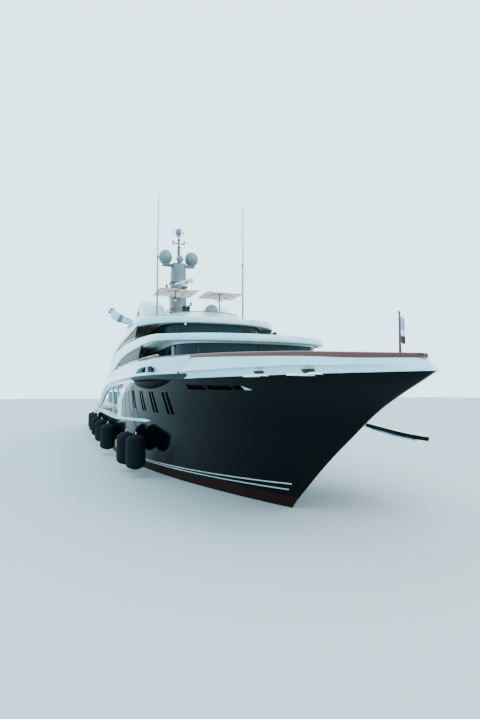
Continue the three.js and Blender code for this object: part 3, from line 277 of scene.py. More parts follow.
def paint_flag():
    cloth = add_node(FLAG_CLOTH, "ShaderNodeUVMap").outputs["UV"]
    up = add_node(FLAG_CLOTH, "ShaderNodeSeparateXYZ", links={0: cloth}).outputs["Y"]
    fields = add_node(FLAG_CLOTH, "ShaderNodeValToRGB", links={0: up})
    ramp = fields.color_ramp
    ramp.interpolation = "CONSTANT"
    ramp.elements[0].color = linear("#16202c")
    ramp.elements[1].position = 0.3
    ramp.elements[1].color = linear("#dfe7ea")
    ramp.elements.new(0.5).color = linear("#6fa6c8")
    feed(FLAG_CLOTH, Base_Color=fields.outputs["Color"])


paint_flag()

# The hull's form, in the same tables as the part's source

MAIN_DECK, SHEER, PAINT_LINE, BOW_TIP = 3.4, 6.15, 0.62, 39.2
LEAN = 0.16  # inwards for each metre above the sheer
SEAT = 0.0006  # the gap to what a piece rests on
# What stands on a deck starts here, and thin rods and plates on the sun deck a little higher
UPPER_FEET, BRIDGE_FEET, SUN_FEET = 6.25 + SEAT, 8.7 + SEAT, 10.85 + SEAT
SUN_DECK = 10.851
STEM = [
    (-3.6, 23.5), (-3.2, 26.2), (-2.4, 28.1), (-1.2, 29.1), (0, 29.6), (1.15, 31.0), (2.6, 32.95),
    (3.7, 34.6), (4.8, 36.3), (5.4, 37.5), (5.9, 38.65), (6.15, 39.2),
]
STERN = [
    (-3.6, -13), (-3.0, -18), (-2.4, -22.5), (-1.6, -28), (-0.9, -32.5), (-0.3, -35.4), (0.62, -35.6),
    (3.4, -34.8), (6.15, -34.8),
]
FULLEST = [
    (-3.6, 0.3), (-3.4, 2.5), (-3.0, 3.9), (-2.4, 4.85), (-1.6, 5.35), (-0.8, 5.55), (0, 5.65), (3.4, 5.98),
    (6.15, 6.15),
]
FULL_AT = [(-3.6, 0), (0, 2), (3.7, 12), (6.15, 16)]
BOW_FULLNESS = [(-3.6, 1.4), (-1.5, 1.9), (0, 2.2), (1.5, 2.28), (3.7, 2.4), (6.15, 2.75)]
TRANSOM_SHARE = [(-3.6, 0.3), (-2.4, 0.3), (-1.6, 0.5), (-0.9, 0.68), (-0.3, 0.8), (0.62, 0.84), (6.15, 0.86)]
PILLAR = [(3.4, 9.2), (4.9, 10.0), (5.5, 11.8), (6.15, 14.6)]
BAND1_LOW = [
    (-21.5, 3.41), (-17, 3.45), (-14, 3.62), (-10, 4.0), (-7, 4.4), (-4.5, 4.89), (-1.8, 5.45), (1.8, 5.84),
    (5.8, 6.04), (8, 6.12), (11, 6.15),
]
BAND1_HIGH = [
    (-21.5, 3.72), (-18, 3.9), (-15, 4.3), (-12, 4.9), (-9.9, 5.4), (-6.7, 5.86), (-4.6, 6.34),
    (-2.3, 6.89), (0.5, 7.22), (3.6, 7.42), (6.6, 7.54), (13.5, 7.6), (18.6, 7.55), (21, 7.48), (27, 7.25),
    (31, 7.1), (35, 6.9), (37, 6.75), (38.85, 6.62), (39.2, 6.6),
]
BAND2_LOW = [
    (0.5, 7.22), (3.4, 7.56), (5.5, 7.93), (7.7, 8.24), (10.4, 8.43), (13.7, 8.53), (17.3, 8.54), (21, 8.5),
    (24, 8.42), (26.7, 8.3),
]
BAND2_HIGH = [
    (-3, 7.0), (-2, 7.36), (-0.6, 7.95), (0.3, 8.6), (1.5, 9.3), (5, 9.58), (10, 9.56), (13, 9.46),
    (18, 9.22), (22, 8.98), (24.5, 8.82), (26.7, 8.74),
]
BAND3_LOW = [(2, 9.4), (4.1, 9.68), (8, 9.9), (12, 10.1), (16, 10.3), (19.3, 10.38)]
BAND3_HIGH = [
    (0, 8.7), (0.5, 9.0), (1.5, 9.5), (3, 10.12), (4.5, 10.42), (6.5, 10.62), (9.3, 10.78), (12, 10.87),
    (16, 10.9), (19.3, 10.84),
]
RUB_LOW = [
    (-34.8, 3.06), (-20, 3.12), (-6, 3.18), (5, 3.22), (9.2, 3.3), (12, 3.44), (19.3, 3.65), (22.6, 3.74),
]
NARROWING = {
    "upper": [(-21.5, 4.4), (-14, 5.2), (-10, 5.6), (-7, 5.8), (-4, 6.0), (-2, 6.3)],
    "bridge": [(-14, 4.2), (-8, 4.6), (-3, 5.2), (1.5, 5.7), (3.5, 6.3)],
    "sun": [(-4, 4.0), (4, 4.8), (9, 5.2), (12, 6.3)],
}
SIDE_AFT = [(-30, 5.35), (-20, 5.85), (-5, 6.1), (16, 6.15)]


def look_up(rows, key):
    """Straight-line interpolation in rows of (key, value)."""
    if key <= rows[0][0]:
        return rows[0][1]
    for (k0, v0), (k1, v1) in zip(rows, rows[1:]):
        if key <= k1:
            return v0 + (v1 - v0) * (key - k0) / (k1 - k0)
    return rows[-1][1]


def curve_through(rows, key):
    """The same with eased slopes."""
    if key <= rows[0][0]:
        return rows[0][1]
    if key >= rows[-1][0]:
        return rows[-1][1]
    last = len(rows) - 1
    i = next(n for n, row in enumerate(rows) if key <= row[0])

    def slope(a, b):
        return (rows[b][1] - rows[a][1]) / (rows[b][0] - rows[a][0])

    (k0, v0), (k1, v1) = rows[i - 1], rows[i]
    m0 = slope(i - 2, i) if i > 1 else slope(0, 1)
    m1 = slope(i - 1, i + 1) if i < last else slope(last - 1, last)
    h, t = k1 - k0, (key - k0) / (k1 - k0)
    return (
        (2 * t**3 - 3 * t**2 + 1) * v0
        + (t**3 - 2 * t**2 + t) * h * m0
        + (3 * t**2 - 2 * t**3) * v1
        + (t**3 - t**2) * h * m1
    )


def half_breadth(x, z):
    """How far the plating stands from the centreline."""
    stem, widest, full_at = curve_through(STEM, z), curve_through(FULLEST, z), look_up(FULL_AT, z)
    if x >= full_at:
        t = max(0.0, (stem - x) / (stem - full_at))
        nose = 0.16 * max(0.0, (z + 1) / 7.15) * math.sqrt(t) * math.exp(-9 * t)
        return widest * (1 - (1 - t) ** look_up(BOW_FULLNESS, z) + nose)
    s = (full_at - x) / (full_at - curve_through(STERN, z))
    return widest * (1 - (1 - look_up(TRANSOM_SHARE, z)) * s**2.2)


def side_line(x):
    """Half breadth of the bands and of the decks' edges."""
    if x > 38.9:
        return math.sqrt(max(0.0, BOW_TIP - x)) * 1.35
    return half_breadth(x, SHEER) if x > 16 else look_up(SIDE_AFT, x)


def lean(z):
    """How far the bands have leant in at a height."""
    return max(0.0, z - SHEER) * LEAN


def rounded_front(x, front, depth, power):
    """The share of its full breadth that a deck or house with a rounded front has at a place."""
    t = min(1.0, max(0.0, (front - x) / depth))
    return (1 - (1 - t) ** power) ** (1 / power)


def steps(start, end, count):
    """Even steps from start to end, both ends among them."""
    return [start + (end - start) * i / count for i in range(count + 1)]


def round_trip(count):
    """Angles once round, without the last, which is the first again."""
    return steps(0, 2 * math.pi, count)[:-1]


def squarer(share, power):
    """A sine or cosine swollen towards its ends, which squares off the round that it draws."""
    return math.copysign(abs(share) ** power, share)


def on_plating(x, z, out=0.0):
    """The point on the port plating at a place and height, moved outwards."""
    return Vector((x, half_breadth(x, z) + out, z))


# Making pieces


def only(*chosen):
    bpy.ops.object.select_all(action="DESELECT")
    for piece in chosen:
        piece.select_set(True)
    bpy.context.view_layer.objects.active = chosen[0]


def from_points(verts, faces, material):
    """A closed piece from its points and faces, with its faces turned outwards."""
    mesh = bpy.data.meshes.new("shape")
    mesh.from_pydata([tuple(v) for v in verts], [], faces)
    work = bmesh.new()
    work.from_mesh(mesh)
    bmesh.ops.remove_doubles(work, verts=work.verts, dist=1e-5)
    bmesh.ops.dissolve_degenerate(work, edges=work.edges, dist=1e-6)
    bmesh.ops.recalc_face_normals(work, faces=work.faces)
    work.to_mesh(mesh)
    work.free()
    mesh.materials.append(material)
    piece = bpy.data.objects.new("shape", mesh)
    bpy.context.collection.objects.link(piece)
    return piece


def lofted(rings, material):
    """A closed skin through closed rings of points, with a face over each end."""
    count, last = len(rings[0]), len(rings) - 1
    faces = []
    for start in range(0, last * count, count):
        for i in range(count):
            j = (i + 1) % count
            faces.append((start + i, start + j, start + count + j, start + count + i))
    faces += [tuple(range(count)), tuple(last * count + i for i in range(count))]
    return from_points([p for ring in rings for p in ring], faces, material)


def two_sheets(points, rows, columns, material):
    """A closed skin from two grids of points, one behind the other, joined round their rims."""
    side, sheet = columns + 1, (rows + 1) * (columns + 1)
    faces = []
    for i in range(rows):
        for j in range(columns):
            p = i * side + j
            q = p + sheet
            faces += [(p, p + 1, p + side + 1, p + side), (q, q + side, q + side + 1, q + 1)]
    rim = [*range(side), *(i * side + columns for i in range(1, rows + 1))]
    rim += [
        *(rows * side + j for j in range(columns - 1, -1, -1)), *(i * side for i in range(rows - 1, 0, -1)),
    ]
    faces += [(p, q, q + sheet, p + sheet) for p, q in zip(rim, rim[1:] + rim[:1])]
    return from_points(points, faces, material)


def block(low, high, material, bevel=0.02, segments=2):
    """A box between two corners with rounded edges."""
    low, high = Vector(low), Vector(high)
    bpy.ops.mesh.primitive_cube_add(size=1, location=(low + high) / 2, scale=high - low)
    piece = bpy.context.object
    bpy.ops.object.transform_apply(location=True, rotation=True, scale=True)
    if bevel:
        bpy.ops.object.mode_set(mode="EDIT")
        bpy.ops.mesh.select_all(action="SELECT")
        bpy.ops.mesh.bevel(offset=bevel, segments=segments, affect="EDGES")
        bpy.ops.object.mode_set(mode="OBJECT")
    piece.data.materials.append(material)
    return piece


def rod(start, end, radius, material, end_radius=None, sides=20, bevel=0.0):
    """A round bar between two points."""
    start, end = Vector(start), Vector(end)
    axis = end - start
    bpy.ops.mesh.primitive_cone_add(
        vertices=sides, depth=axis.length,
        radius1=radius, radius2=radius if end_radius is None else end_radius,
        location=(start + end) / 2, rotation=axis.to_track_quat("Z", "Y").to_euler(),
    )
    piece = bpy.context.object
    bpy.ops.object.transform_apply(location=True, rotation=True, scale=True)
    if bevel:
        bpy.ops.object.modifier_add(type="BEVEL")
        rounding = piece.modifiers[-1]
        rounding.width, rounding.segments, rounding.limit_method = bevel, 2, "ANGLE"
        bpy.ops.object.modifier_apply(modifier=rounding.name)
    piece.data.materials.append(material)
    return piece


def pipe(points, radius, material, closed=False, roundness=2):
    """A bent tube along points."""
    line = bpy.data.curves.new("line", "CURVE")
    line.dimensions = "3D"
    line.bevel_depth, line.bevel_resolution, line.use_fill_caps = radius, roundness, True
    spline = line.splines.new("POLY")
    spline.points.add(len(points) - 1)
    for point, place in zip(spline.points, points):
        point.co = (*place, 1)
    spline.use_cyclic_u = closed
    piece = bpy.data.objects.new("line", line)
    bpy.context.collection.objects.link(piece)
    only(piece)
    bpy.ops.object.convert(target="MESH")
    piece = bpy.context.object
    piece.data.materials.clear()
    piece.data.materials.append(material)
    return piece


def spun(profile, centre, material, turn=None, sides=32):
    """A body of revolution from rows of (radius, height) about a point's upright line, then turned."""
    mesh = bpy.data.meshes.new("profile")
    mesh.from_pydata([(r, 0, z) for r, z in profile], [(i, i + 1) for i in range(len(profile) - 1)], [])
    piece = bpy.data.objects.new("profile", mesh)
    bpy.context.collection.objects.link(piece)
    only(piece)
    bpy.ops.object.mode_set(mode="EDIT")
    bpy.ops.mesh.select_all(action="SELECT")
    bpy.ops.mesh.spin(steps=sides, angle=2 * math.pi, center=(0, 0, 0), axis=(0, 0, 1))
    bpy.ops.mesh.select_all(action="SELECT")
    bpy.ops.mesh.remove_doubles(threshold=1e-4)
    bpy.ops.mesh.normals_make_consistent(inside=False)
    bpy.ops.object.mode_set(mode="OBJECT")
    piece.data.transform(Matrix.Translation(centre) @ (turn or Matrix.Identity(4)))
    piece.data.materials.append(material)
    return piece


def copied(piece, change):
    """A copy with a mesh of its own, changed by a matrix."""
    twin = piece.copy()
    twin.data = piece.data.copy()
    bpy.context.collection.objects.link(twin)
    twin.data.transform(change)
    if change.determinant() < 0:
        twin.data.flip_normals()
    return twin


MIRROR = Matrix.Scale(-1, 4, (0, 1, 0))


def both(*pieces):
    """Each piece and its mirror image on the other side."""
    return [one for piece in pieces for one in (piece, copied(piece, MIRROR))]


def cut(piece, *cutters):
    """The piece without what its cutters hold. The cutters are used up."""
    for cutter in cutters:
        only(piece)
        bpy.ops.object.modifier_add(type="BOOLEAN")
        saw = piece.modifiers[-1]
        saw.operation, saw.object, saw.solver = "DIFFERENCE", cutter, "EXACT"
        bpy.ops.object.modifier_apply(modifier=saw.name)
        bpy.data.objects.remove(cutter)
    return piece


def assemble(name, parts, body="yacht", replaces=(), crease=32):
    """Joins the parts into one named piece at the model's size, which rides on its body."""
    only(*parts)
    if len(parts) > 1:
        bpy.ops.object.join()
    piece = bpy.context.object
    piece.name = piece.data.name = name
    piece.data.transform(Matrix.Scale(HALF, 4))
    only(piece)
    bpy.ops.object.shade_smooth_by_angle(angle=math.radians(crease))
    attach(piece, body)
    if replaces:
        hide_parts(*replaces)
    return piece


# Hull

BOW_SHARES = [share**1.7 for share in steps(0, 1, 60)]
HIGH_ROWS = [3.4, 3.7, 4.0, 4.3, 4.6, 4.9, 5.05, 5.2, 5.35, 5.5, 5.65, 5.8, 5.9, 6.0, 6.08, 6.15]
LOW_ROWS = [PAINT_LINE + SEAT, 0.9, 1.2, 1.5, 1.8, 2.1, 2.4, 2.7, 3.0, 3.2]
PILLAR_FOOT = 9.2


def plating_row(z, end, shares):
    """The port plating's points at a height, from the stem, which is on the centreline, to an end."""
    stem = curve_through(STEM, z)
    return [
        on_plating(stem + (end - stem) * share, z) if share else Vector((stem, 0.0, z))
        for share in shares
    ]


def topsides():
    """The navy hull from the paint line up, decked over. Its raised part ends aft in a slanted pillar."""
    rows = []
    for z in LOW_ROWS + HIGH_ROWS:
        row = plating_row(z, look_up(PILLAR, z), BOW_SHARES)
        if z <= MAIN_DECK:
            stern = curve_through(STERN, z)
            row += [on_plating(x, z) for x in steps(PILLAR_FOOT, stern, 40)[1:]]
        rows.append(row)
    verts, index = [], []
    for row in rows:
        sides = []
        for side, _ in SIDES[::-1]:
            sides.append(range(len(verts), len(verts) + len(row)))
            verts += [Vector((p.x, side * p.y, p.z)) for p in row]
        index.append(sides)
    faces = []
    for (p0, s0), (p1, s1) in zip(index, index[1:]):
        for i in range(min(len(p0), len(p1)) - 1):
            faces.append((p0[i], p0[i + 1], p1[i + 1], p1[i]))
            faces.append((s0[i], s1[i], s1[i + 1], s0[i + 1]))
        ends = min(len(p0), len(p1)) - 1
        faces.append((p0[ends], s0[ends], s1[ends], p1[ends]))
    foot = len(BOW_SHARES) - 1
    deck_row = index[len(LOW_ROWS)]
    for (port, starboard), start in ((index[0], 0), (index[-1], 0), (deck_row, foot)):
        for i in range(start, len(port) - 1):
            faces.append((port[i], starboard[i], starboard[i + 1], port[i + 1]))
    return from_points(verts, faces, NAVY)


# The shell door's place, worked out as in the part's source
DOOR_AFT, DOOR_FORE, DOOR_HIGH, DOOR_LOW, DOOR_RAKE = 27.6, 32.6, 4.3, 1.5, 0.48
DOOR_RECESS, DOOR_CLEAR, DOOR_CORNER, DOOR_PROUD, DOOR_SLOPE = 0.46, 0.065, 0.4, 0.03, 16


def door_place():
    aft, fore = on_plating(DOOR_AFT, DOOR_HIGH), on_plating(DOOR_FORE, DOOR_HIGH)
    along = (fore - aft).normalized()
    out = Vector((-along.y, along.x, 0))
    middle_x = (DOOR_AFT + DOOR_FORE) / 2
    middle = (on_plating(middle_x, DOOR_HIGH) - aft).dot(out)
    flare = math.atan2(
        half_breadth(middle_x - 1, DOOR_HIGH) - half_breadth(middle_x - 1, DOOR_LOW), DOOR_HIGH - DOOR_LOW
    )
    down = out * -math.sin(flare) + Vector((0, 0, -math.cos(flare)))
    square = out * math.cos(flare) + Vector((0, 0, -math.sin(flare)))
    return {
        "from": aft + out * (max(middle, 0) + DOOR_PROUD), "along": along, "out": out, "down": down,
        "square": square, "long": (fore - aft).length, "flare": flare,
        "high": (DOOR_HIGH - DOOR_LOW) / math.cos(flare),
    }


DOOR = door_place()
DOOR_TURN = (
    Matrix.Translation(DOOR["from"])
    @ Matrix.Rotation(math.radians(90 - DOOR_SLOPE) + DOOR["flare"], 4, DOOR["along"])
    @ Matrix.Translation(-DOOR["from"])
)


def door_point(along, drop, lift):
    """A point at the shut door's face, lifted off the plating. Inner faces turn square to it lower down."""
    inward = DOOR["out"].lerp(DOOR["square"], drop / DOOR["high"]).normalized()
    start = DOOR["from"] + DOOR["along"] * (along - drop * DOOR_RAKE) + DOOR["down"] * drop
    low, high = -2.0, 1.0
    for _ in range(30):
        reach = (low + high) / 2
        point = start + inward * reach
        if point.y < half_breadth(point.x, point.z):
            low = reach
        else:
            high = reach
    return start + inward * (low + lift)


def door_slab(inset, outer, inner, material, corner=0.0):
    """A slab that follows the plating over the door's outline, between two lifts."""
    cells = 12
    long, high = DOOR["long"], DOOR["high"]
    sheets = []
    for lift in (outer, inner):
        for v in steps(inset, high - inset, cells):
            nip = DOOR_RAKE * (corner - v) if v < corner else 0.0
            sheets += [door_point(u, v, lift) for u in steps(inset, long - inset - nip, cells)]
    return two_sheets(sheets, cells, cells, material)


GARAGE_HALF, GARAGE_LOW, GARAGE_HIGH, GARAGE_DEPTH = 2.6, 0.95, 2.9, 0.7
KNUCKLE_RADIUS, KNUCKLE_LONG, WEB_DEEP, WEB_HIGH = 0.06, 0.16, 0.22, 0.14


def knuckle(line, along, out, spot, up):
    """A hinge barrel with its web into what carries it."""
    ends = [line + along * (spot + a) for a in (0, KNUCKLE_LONG)]
    low, high = (0, WEB_HIGH) if up else (-WEB_HIGH, 0)
    corners = (0, low), (-WEB_DEEP, low), (-WEB_DEEP, high), (0, high)
    ring = [[end + out * o + Vector((0, 0, z)) for o, z in corners] for end in ends]
    return [rod(*ends, KNUCKLE_RADIUS, STAINLESS), lofted(ring, NAVY)]


DOOR_KNUCKLES = (0.5, 2.55, 4.6)
GARAGE_KNUCKLES = (-2.2, -0.16, 1.88)
GARAGE_LINE = Vector((look_up(STERN, GARAGE_HIGH) - 0.02, 0, GARAGE_HIGH))
hull_knuckles = []
for spot in DOOR_KNUCKLES:
    hull_knuckles += knuckle(DOOR["from"], DOOR["along"], DOOR["out"], spot, True)
for spot in GARAGE_KNUCKLES:
    hull_knuckles += knuckle(GARAGE_LINE, Vector((0, 1, 0)), Vector((-1, 0, 0)), spot, True)

# Window openings in the plating: slots as (x, low, high, rake), the slit's edges as (x, z), and its panes
SLOT_LONG, SLOT_PITCH, LIGHT_PITCH, SUNK = 0.34, 0.5, 0.45, 0.2
SLOT_PAIRS = (
    (18.06, 4.46, 5.64, 0.15), (20.3, 4.4, 5.6, 0.3), (22.3, 4.34, 5.56, 0.45), (24.26, 4.32, 5.52, 0.6),
)
LIGHTS = [(x + shift, low, high, rake) for x, low, high, rake in SLOT_PAIRS for shift in (0, SLOT_PITCH)]
LIGHTS += [(x + shift, 2.42, 2.64, 0.04) for x in (3.0, 8.2, 13.4, 18.6) for shift in (0, LIGHT_PITCH)]
SLIT_LOW, SLIT_HIGH = [(28.1, 5.64), (32.5, 5.6)], [(28.1, 5.88), (32.05, 5.78), (32.45, 5.63)]
SLIT_PANES = [(28.18, 29.66), (29.78, 31.46), (31.58, 32.05)]


def patch(rows, outer, inner, material, rake=0.0):
    """A slab that follows the plating between two lifts, with its upper edge further forward by the rake."""
    rings = []
    for x, low, high in rows:
        places = [(x + rake * t, low + (high - low) * t) for t in steps(0, 1, 6)]
        rings.append(
            [on_plating(*p, outer) for p in places] + [on_plating(*p, inner) for p in reversed(places)]
        )
    return lofted(rings, material)


def hull_lights(outer, inner, material):
    """Every small window on both sides as slabs between two lifts, for cutters and for the panes."""
    made = []
    for x, low, high, rake in LIGHTS:
        made += both(
            patch([(x + SLOT_LONG * t, low, high) for t in (0, 0.5, 1)], outer, inner, material, rake)
        )
    for start, end in SLIT_PANES:
        rows = [(x, look_up(SLIT_LOW, x), look_up(SLIT_HIGH, x)) for x in steps(start, end, 6)]
        made += both(patch(rows, outer, inner, material))
    return made


windows = hull_lights(0.3, -SUNK, NAVY)
only(*windows)
bpy.ops.object.join()
garage = block(
    (-37, -GARAGE_HALF, GARAGE_LOW),
    (look_up(STERN, GARAGE_HIGH) + GARAGE_DEPTH, GARAGE_HALF, GARAGE_HIGH),
    NAVY, 0
)
hull = cut(topsides(), door_slab(0.0, 0.6, -DOOR_RECESS, NAVY), garage, windows[0])
assemble("hull_topsides", [hull, *hull_knuckles], replaces=["hull_topside"], crease=30)


BOTTOM_ROWS = [
    -3.6, -3.5, -3.4, -3.2, -3.0, -2.7, -2.4, -2.0, -1.6, -1.2, -0.9, -0.6, -0.3, 0, 0.2, 0.4, PAINT_LINE,
]
BOTTOM_SHARES = [share**1.4 for share in steps(0, 1, 70)]


def bottom():
    rows = []
    for z in BOTTOM_ROWS:
        port = plating_row(z, curve_through(STERN, z), BOTTOM_SHARES)
        rows.append(port + [Vector((p.x, -p.y, p.z)) for p in reversed(port[1:])])
    return lofted(rows, ANTIFOULING)


SHAFT_Y, SHAFT_Z, SHAFT_AFT, SHAFT_FORE = 1.95, -2.45, -29.2, -19
BRACKET = [  # two flat hexagons, as (x, y, z): at the shaft, and where the bracket meets the hull
    [(-28.3, 1.9, -2.4), (-28.65, 1.86, -2.4), (-29.0, 1.9, -2.4), (-29.0, 2.0, -2.4), (-28.65, 2.04, -2.4),
     (-28.3, 2.0, -2.4)],
    [(-28.0, 1.5, -0.9), (-28.35, 1.46, -0.9), (-28.7, 1.5, -0.9), (-28.7, 1.62, -0.9), (-28.35, 1.66, -0.9),
     (-28.0, 1.62, -0.9)],
]
shaft_gear = both(
    rod((SHAFT_FORE, SHAFT_Y, SHAFT_Z), (SHAFT_AFT, SHAFT_Y, SHAFT_Z), 0.24, ANTIFOULING, sides=24),
    lofted(BRACKET, ANTIFOULING),
    rod((-32.4, SHAFT_Y, -1.5), (-32.4, SHAFT_Y, -0.5), 0.34, ANTIFOULING, sides=24),
)
assemble("hull_bottom_and_shafts", [bottom(), *shaft_gear], replaces=["hull_bottom"], crease=35)

# Bands, wings and rails

LAP = 0.02
TIP_LONG, TIP_ROUND, TIP_TAPER = 1.8, 0.4232, 0.3358  # the sheer's rounded tip: y² = round·d + taper·d²


def edge(x):
    """The bands' line in plan at the height of the sheer, rounded at the tip of the bow."""
    d = BOW_TIP - x
    return math.sqrt(d * (TIP_ROUND + TIP_TAPER * d)) if d < TIP_LONG else side_line(x)


def bow_path():
    """The port half of the bands' line in plan, from the tip of the bow to the lowest band's aft end."""
    tip = [BOW_TIP - TIP_LONG * (i / 14) ** 2 for i in range(15)]
    xs = tip + steps(BOW_TIP - TIP_LONG, 16, 30)[1:] + steps(16, BAND1_HIGH[0][0], 42)[1:]
    return [(x, edge(x)) for x in xs]


def front_path(front, depth, power, aft):
    """The port half of a higher deck's line in plan, from its rounded front to its aft end."""
    nose = [front - depth * (i / 22) ** 2.2 for i in range(23)]
    xs = nose + steps(front - depth, aft, round((front - depth - aft) / 0.7))[1:]
    return [(x, side_line(x) * rounded_front(x, front, depth, power)) for x in xs]


def both_ways(half):
    """The port half of a path made whole, from the starboard aft end round the front to the port one."""
    return [(x, -y) for x, y in reversed(half)] + half[1 if half[0][1] < 1e-6 else 0:]


def outwards(path):
    """The plan direction away from the ship at each point of a path made whole."""
    spans = zip(path[:1] + path[:-1], path[1:] + path[-1:])
    return [Vector((after[1] - before[1], before[0] - after[0], 0)).normalized() for before, after in spans]


def strip(path, section, material):
    """A skin along a plan path: section(x) gives rows of (distance outwards, height)."""
    rings = []
    for (x, y), way in zip(path, outwards(path)):
        rings.append([Vector((x, y, z)) + way * off for off, z in section(x)])
    return lofted(rings, material)


def nose(x):
    """0 along the side, rising to 1 at the tip of the bow."""
    return min(1.0, max(0.0, (x - 36.2) / 3))


def band1_low(x):
    return max(curve_through(BAND1_LOW, x), SHEER + SEAT if x > 11 else 0)


def band1_high(x):
    return curve_through(BAND1_HIGH, x)


def band2_low(x):
    return max(0 if x < BAND2_LOW[0][0] else curve_through(BAND2_LOW, x), band1_high(x) - LAP)


def band2_high(x):
    return curve_through(BAND2_HIGH, x)


def band3_low(x):
    return max(0 if x < BAND3_LOW[0][0] else curve_through(BAND3_LOW, x), band2_high(x) - LAP)


def band3_high(x):
    return curve_through(BAND3_HIGH, x)


LIP_HIGH, LIP_OUT, NOSE_BACK = 0.35, 0.2, 0.42
# Shares of the lip's reach and height
UNDER_LIP = [(-0.1, 0), (0, 0.05), (0.1, 0.4), (0.42, 0.75), (0.85, 0.93), (1, 1)]
OVER_LIP = [(1, 0.035), (0.9, 0.08), (0.74, 0.24), (0.55, 0.5), (0.36, 0.78), (0.2, 0.95), (0, 1)]


def bulwark_section(x):
    """Over a hollow foot the lip stands out, and the face above it leans in, further at the tip."""
    low, high = band1_low(x), band1_high(x)
    lip = min(LIP_HIGH, 0.45 * (high - low))
    out = LIP_OUT * min(1, high - low) * (1 - 0.85 * nose(x))
    rows = [(out * o, low + lip * up) for o, up in UNDER_LIP]
    rows += [(out * o, low + lip + (high - low - lip) * up) for o, up in OVER_LIP]
    rows += [(-0.24, high), (-0.24, low)]
    return [(o - set_back(x, z) - lean(z), z) for o, z in rows]


def set_back(x, z):
    """How far the tip of the bow leans in at a height above its foot."""
    share = max(0.0, z - SHEER) / (band1_high(x) - SHEER)
    return NOSE_BACK * nose(x) ** 2 * share**1.6


ROUNDED = [
    (-0.12, 0), (-0.06, 0.015), (-0.02, 0.06), (0.0, 0.14), (0.015, 0.3), (0.02, 0.5), (0.01, 0.7),
    (-0.01, 0.86), (-0.04, 0.94), (-0.08, 0.985), (-0.12, 1), (-0.24, 1), (-0.24, 0),
]


def band(path, low, high):
    """A white band between two lines of height, with rounded edges."""
    def section(x):
        z0, z1 = low(x), high(x)
        return [(off - lean(z0 + (z1 - z0) * v), z0 + (z1 - z0) * v) for off, v in ROUNDED]

    return strip(both_ways(path), section, WHITE)


WING_PLAN = [
    (19.4, 0.0), (19.8, 0.24), (20.5, 0.46), (21.6, 0.64), (23.0, 0.72), (24.4, 0.72), (25.6, 0.63),
    (26.3, 0.54), (26.78, 0.47), (26.84, 0.45), (27.6, 0.29), (28.3, 0.13), (28.8, 0.02),
]
WING_ROWS = [
    (6.1, 0.3), (6.14, 0.5), (6.2, 0.68), (6.28, 0.85), (6.36, 0.98), (6.41, 1.04), (6.46, 1.04),
    (6.48, 0.92), (6.6, 0.91), (6.9, 0.9), (7.12, 0.88), (7.2, 0.86), (7.23, 0.80),
]
BELLY_ROWS, BELLY_DROP = 6, 0.42


def wing():
    """The port wing balcony over the bulwark: its belly in painted shade, and its white side."""
    rings = []
    for z, share in WING_ROWS:
        near = [Vector((x, edge(x) - 0.15, z)) for x, _ in WING_PLAN]
        far = [Vector((x, edge(x) - 0.15 + (out + 0.13) * share, z)) for x, out in WING_PLAN]
        rings.append(far + near[::-1])
    return lofted(rings[:BELLY_ROWS], BELLY_PAINTED_SHADE), lofted(rings[BELLY_ROWS - 1 :], WHITE)


def wing_fairing():
    """The half-moon fairing under the wing, faired into the plating, in matt black side-light glass as
    painted shade below the wing.
    """
    rings = []
    for t in steps(0.03, 0.97, 20):
        x = 19.7 + 7.2 * t
        drop = BELLY_DROP * math.sin(math.pi * t) ** 0.8
        reach = edge(x) + 0.6 * look_up(WING_PLAN, x) * math.sin(math.pi * t) ** 0.4
        ring = []
        for a in steps(0, math.pi / 2, 7):
            z = 6.12 - drop * math.sin(a)
            base = half_breadth(x, z)
            ring.append(Vector((x, base + (reach - base) * math.cos(a) ** 1.3 + 0.01, z)))
        rings.append(ring + [on_plating(x, p.z, -0.1) for p in reversed(ring)])
    return lofted(rings, DEADLIGHT)


ARCH_X, ARCH_Z = 24.5, 6.56
ARCH = [
    (-1.6, 0), (1.6, 0), (1.58, 0.07), (1.48, 0.16), (1.3, 0.24), (1.05, 0.3), (0.6, 0.32), (0.0, 0.315),
    (-0.5, 0.3), (-0.95, 0.25), (-1.3, 0.16), (-1.5, 0.07),
]


def arch(y0, y1, material, grow=1.0):
    """The wing's arched light as a slab between two distances from the centreline."""
    return lofted(
        [
            [Vector((ARCH_X + x * grow, y, ARCH_Z + z * grow - 0.1 * (grow - 1))) for x, z in ARCH]
            for y in (y0, y1)
        ],
        material,
    )


bulwark = strip(both_ways(bow_path()), bulwark_section, WHITE)
belly_port, wing_port = wing()
cut(wing_port, arch(6.05, 8.2, RUBBER))
port_light = arch(6.12, 6.22, DEADLIGHT, 1.05)
mullion = block((ARCH_X + 0.6, 6.2, ARCH_Z), (ARCH_X + 0.66, 6.34, ARCH_Z + 0.3), WHITE, 0.01)
wing_rail = pipe(
    [(x, edge(x) - 0.05, 7.52 - 0.4 * max(0, abs(x - 22.9) - 1.8) ** 2) for x in steps(20.7, 25.1, 20)],
    0.055, MAHOGANY,
)
wings = both(wing_port, belly_port, port_light, mullion, wing_rail, wing_fairing())
assemble("bulwark", [bulwark, *wings], replaces=["bulwark_band"], crease=28)

BRIDGE_FRONT, SUN_FRONT = (26.7, 4.4, 2.2), (19.3, 5.2, 2.3)  # fore end, depth of the round, its power
for name, path, low, high in (
    ("bridge", front_path(*BRIDGE_FRONT, -3), band2_low, band2_high),
    ("sun", front_path(*SUN_FRONT, 0), band3_low, band3_high),
):
    assemble(name + "_deck_band", [band(path, low, high)], replaces=[name + "_band"], crease=28)


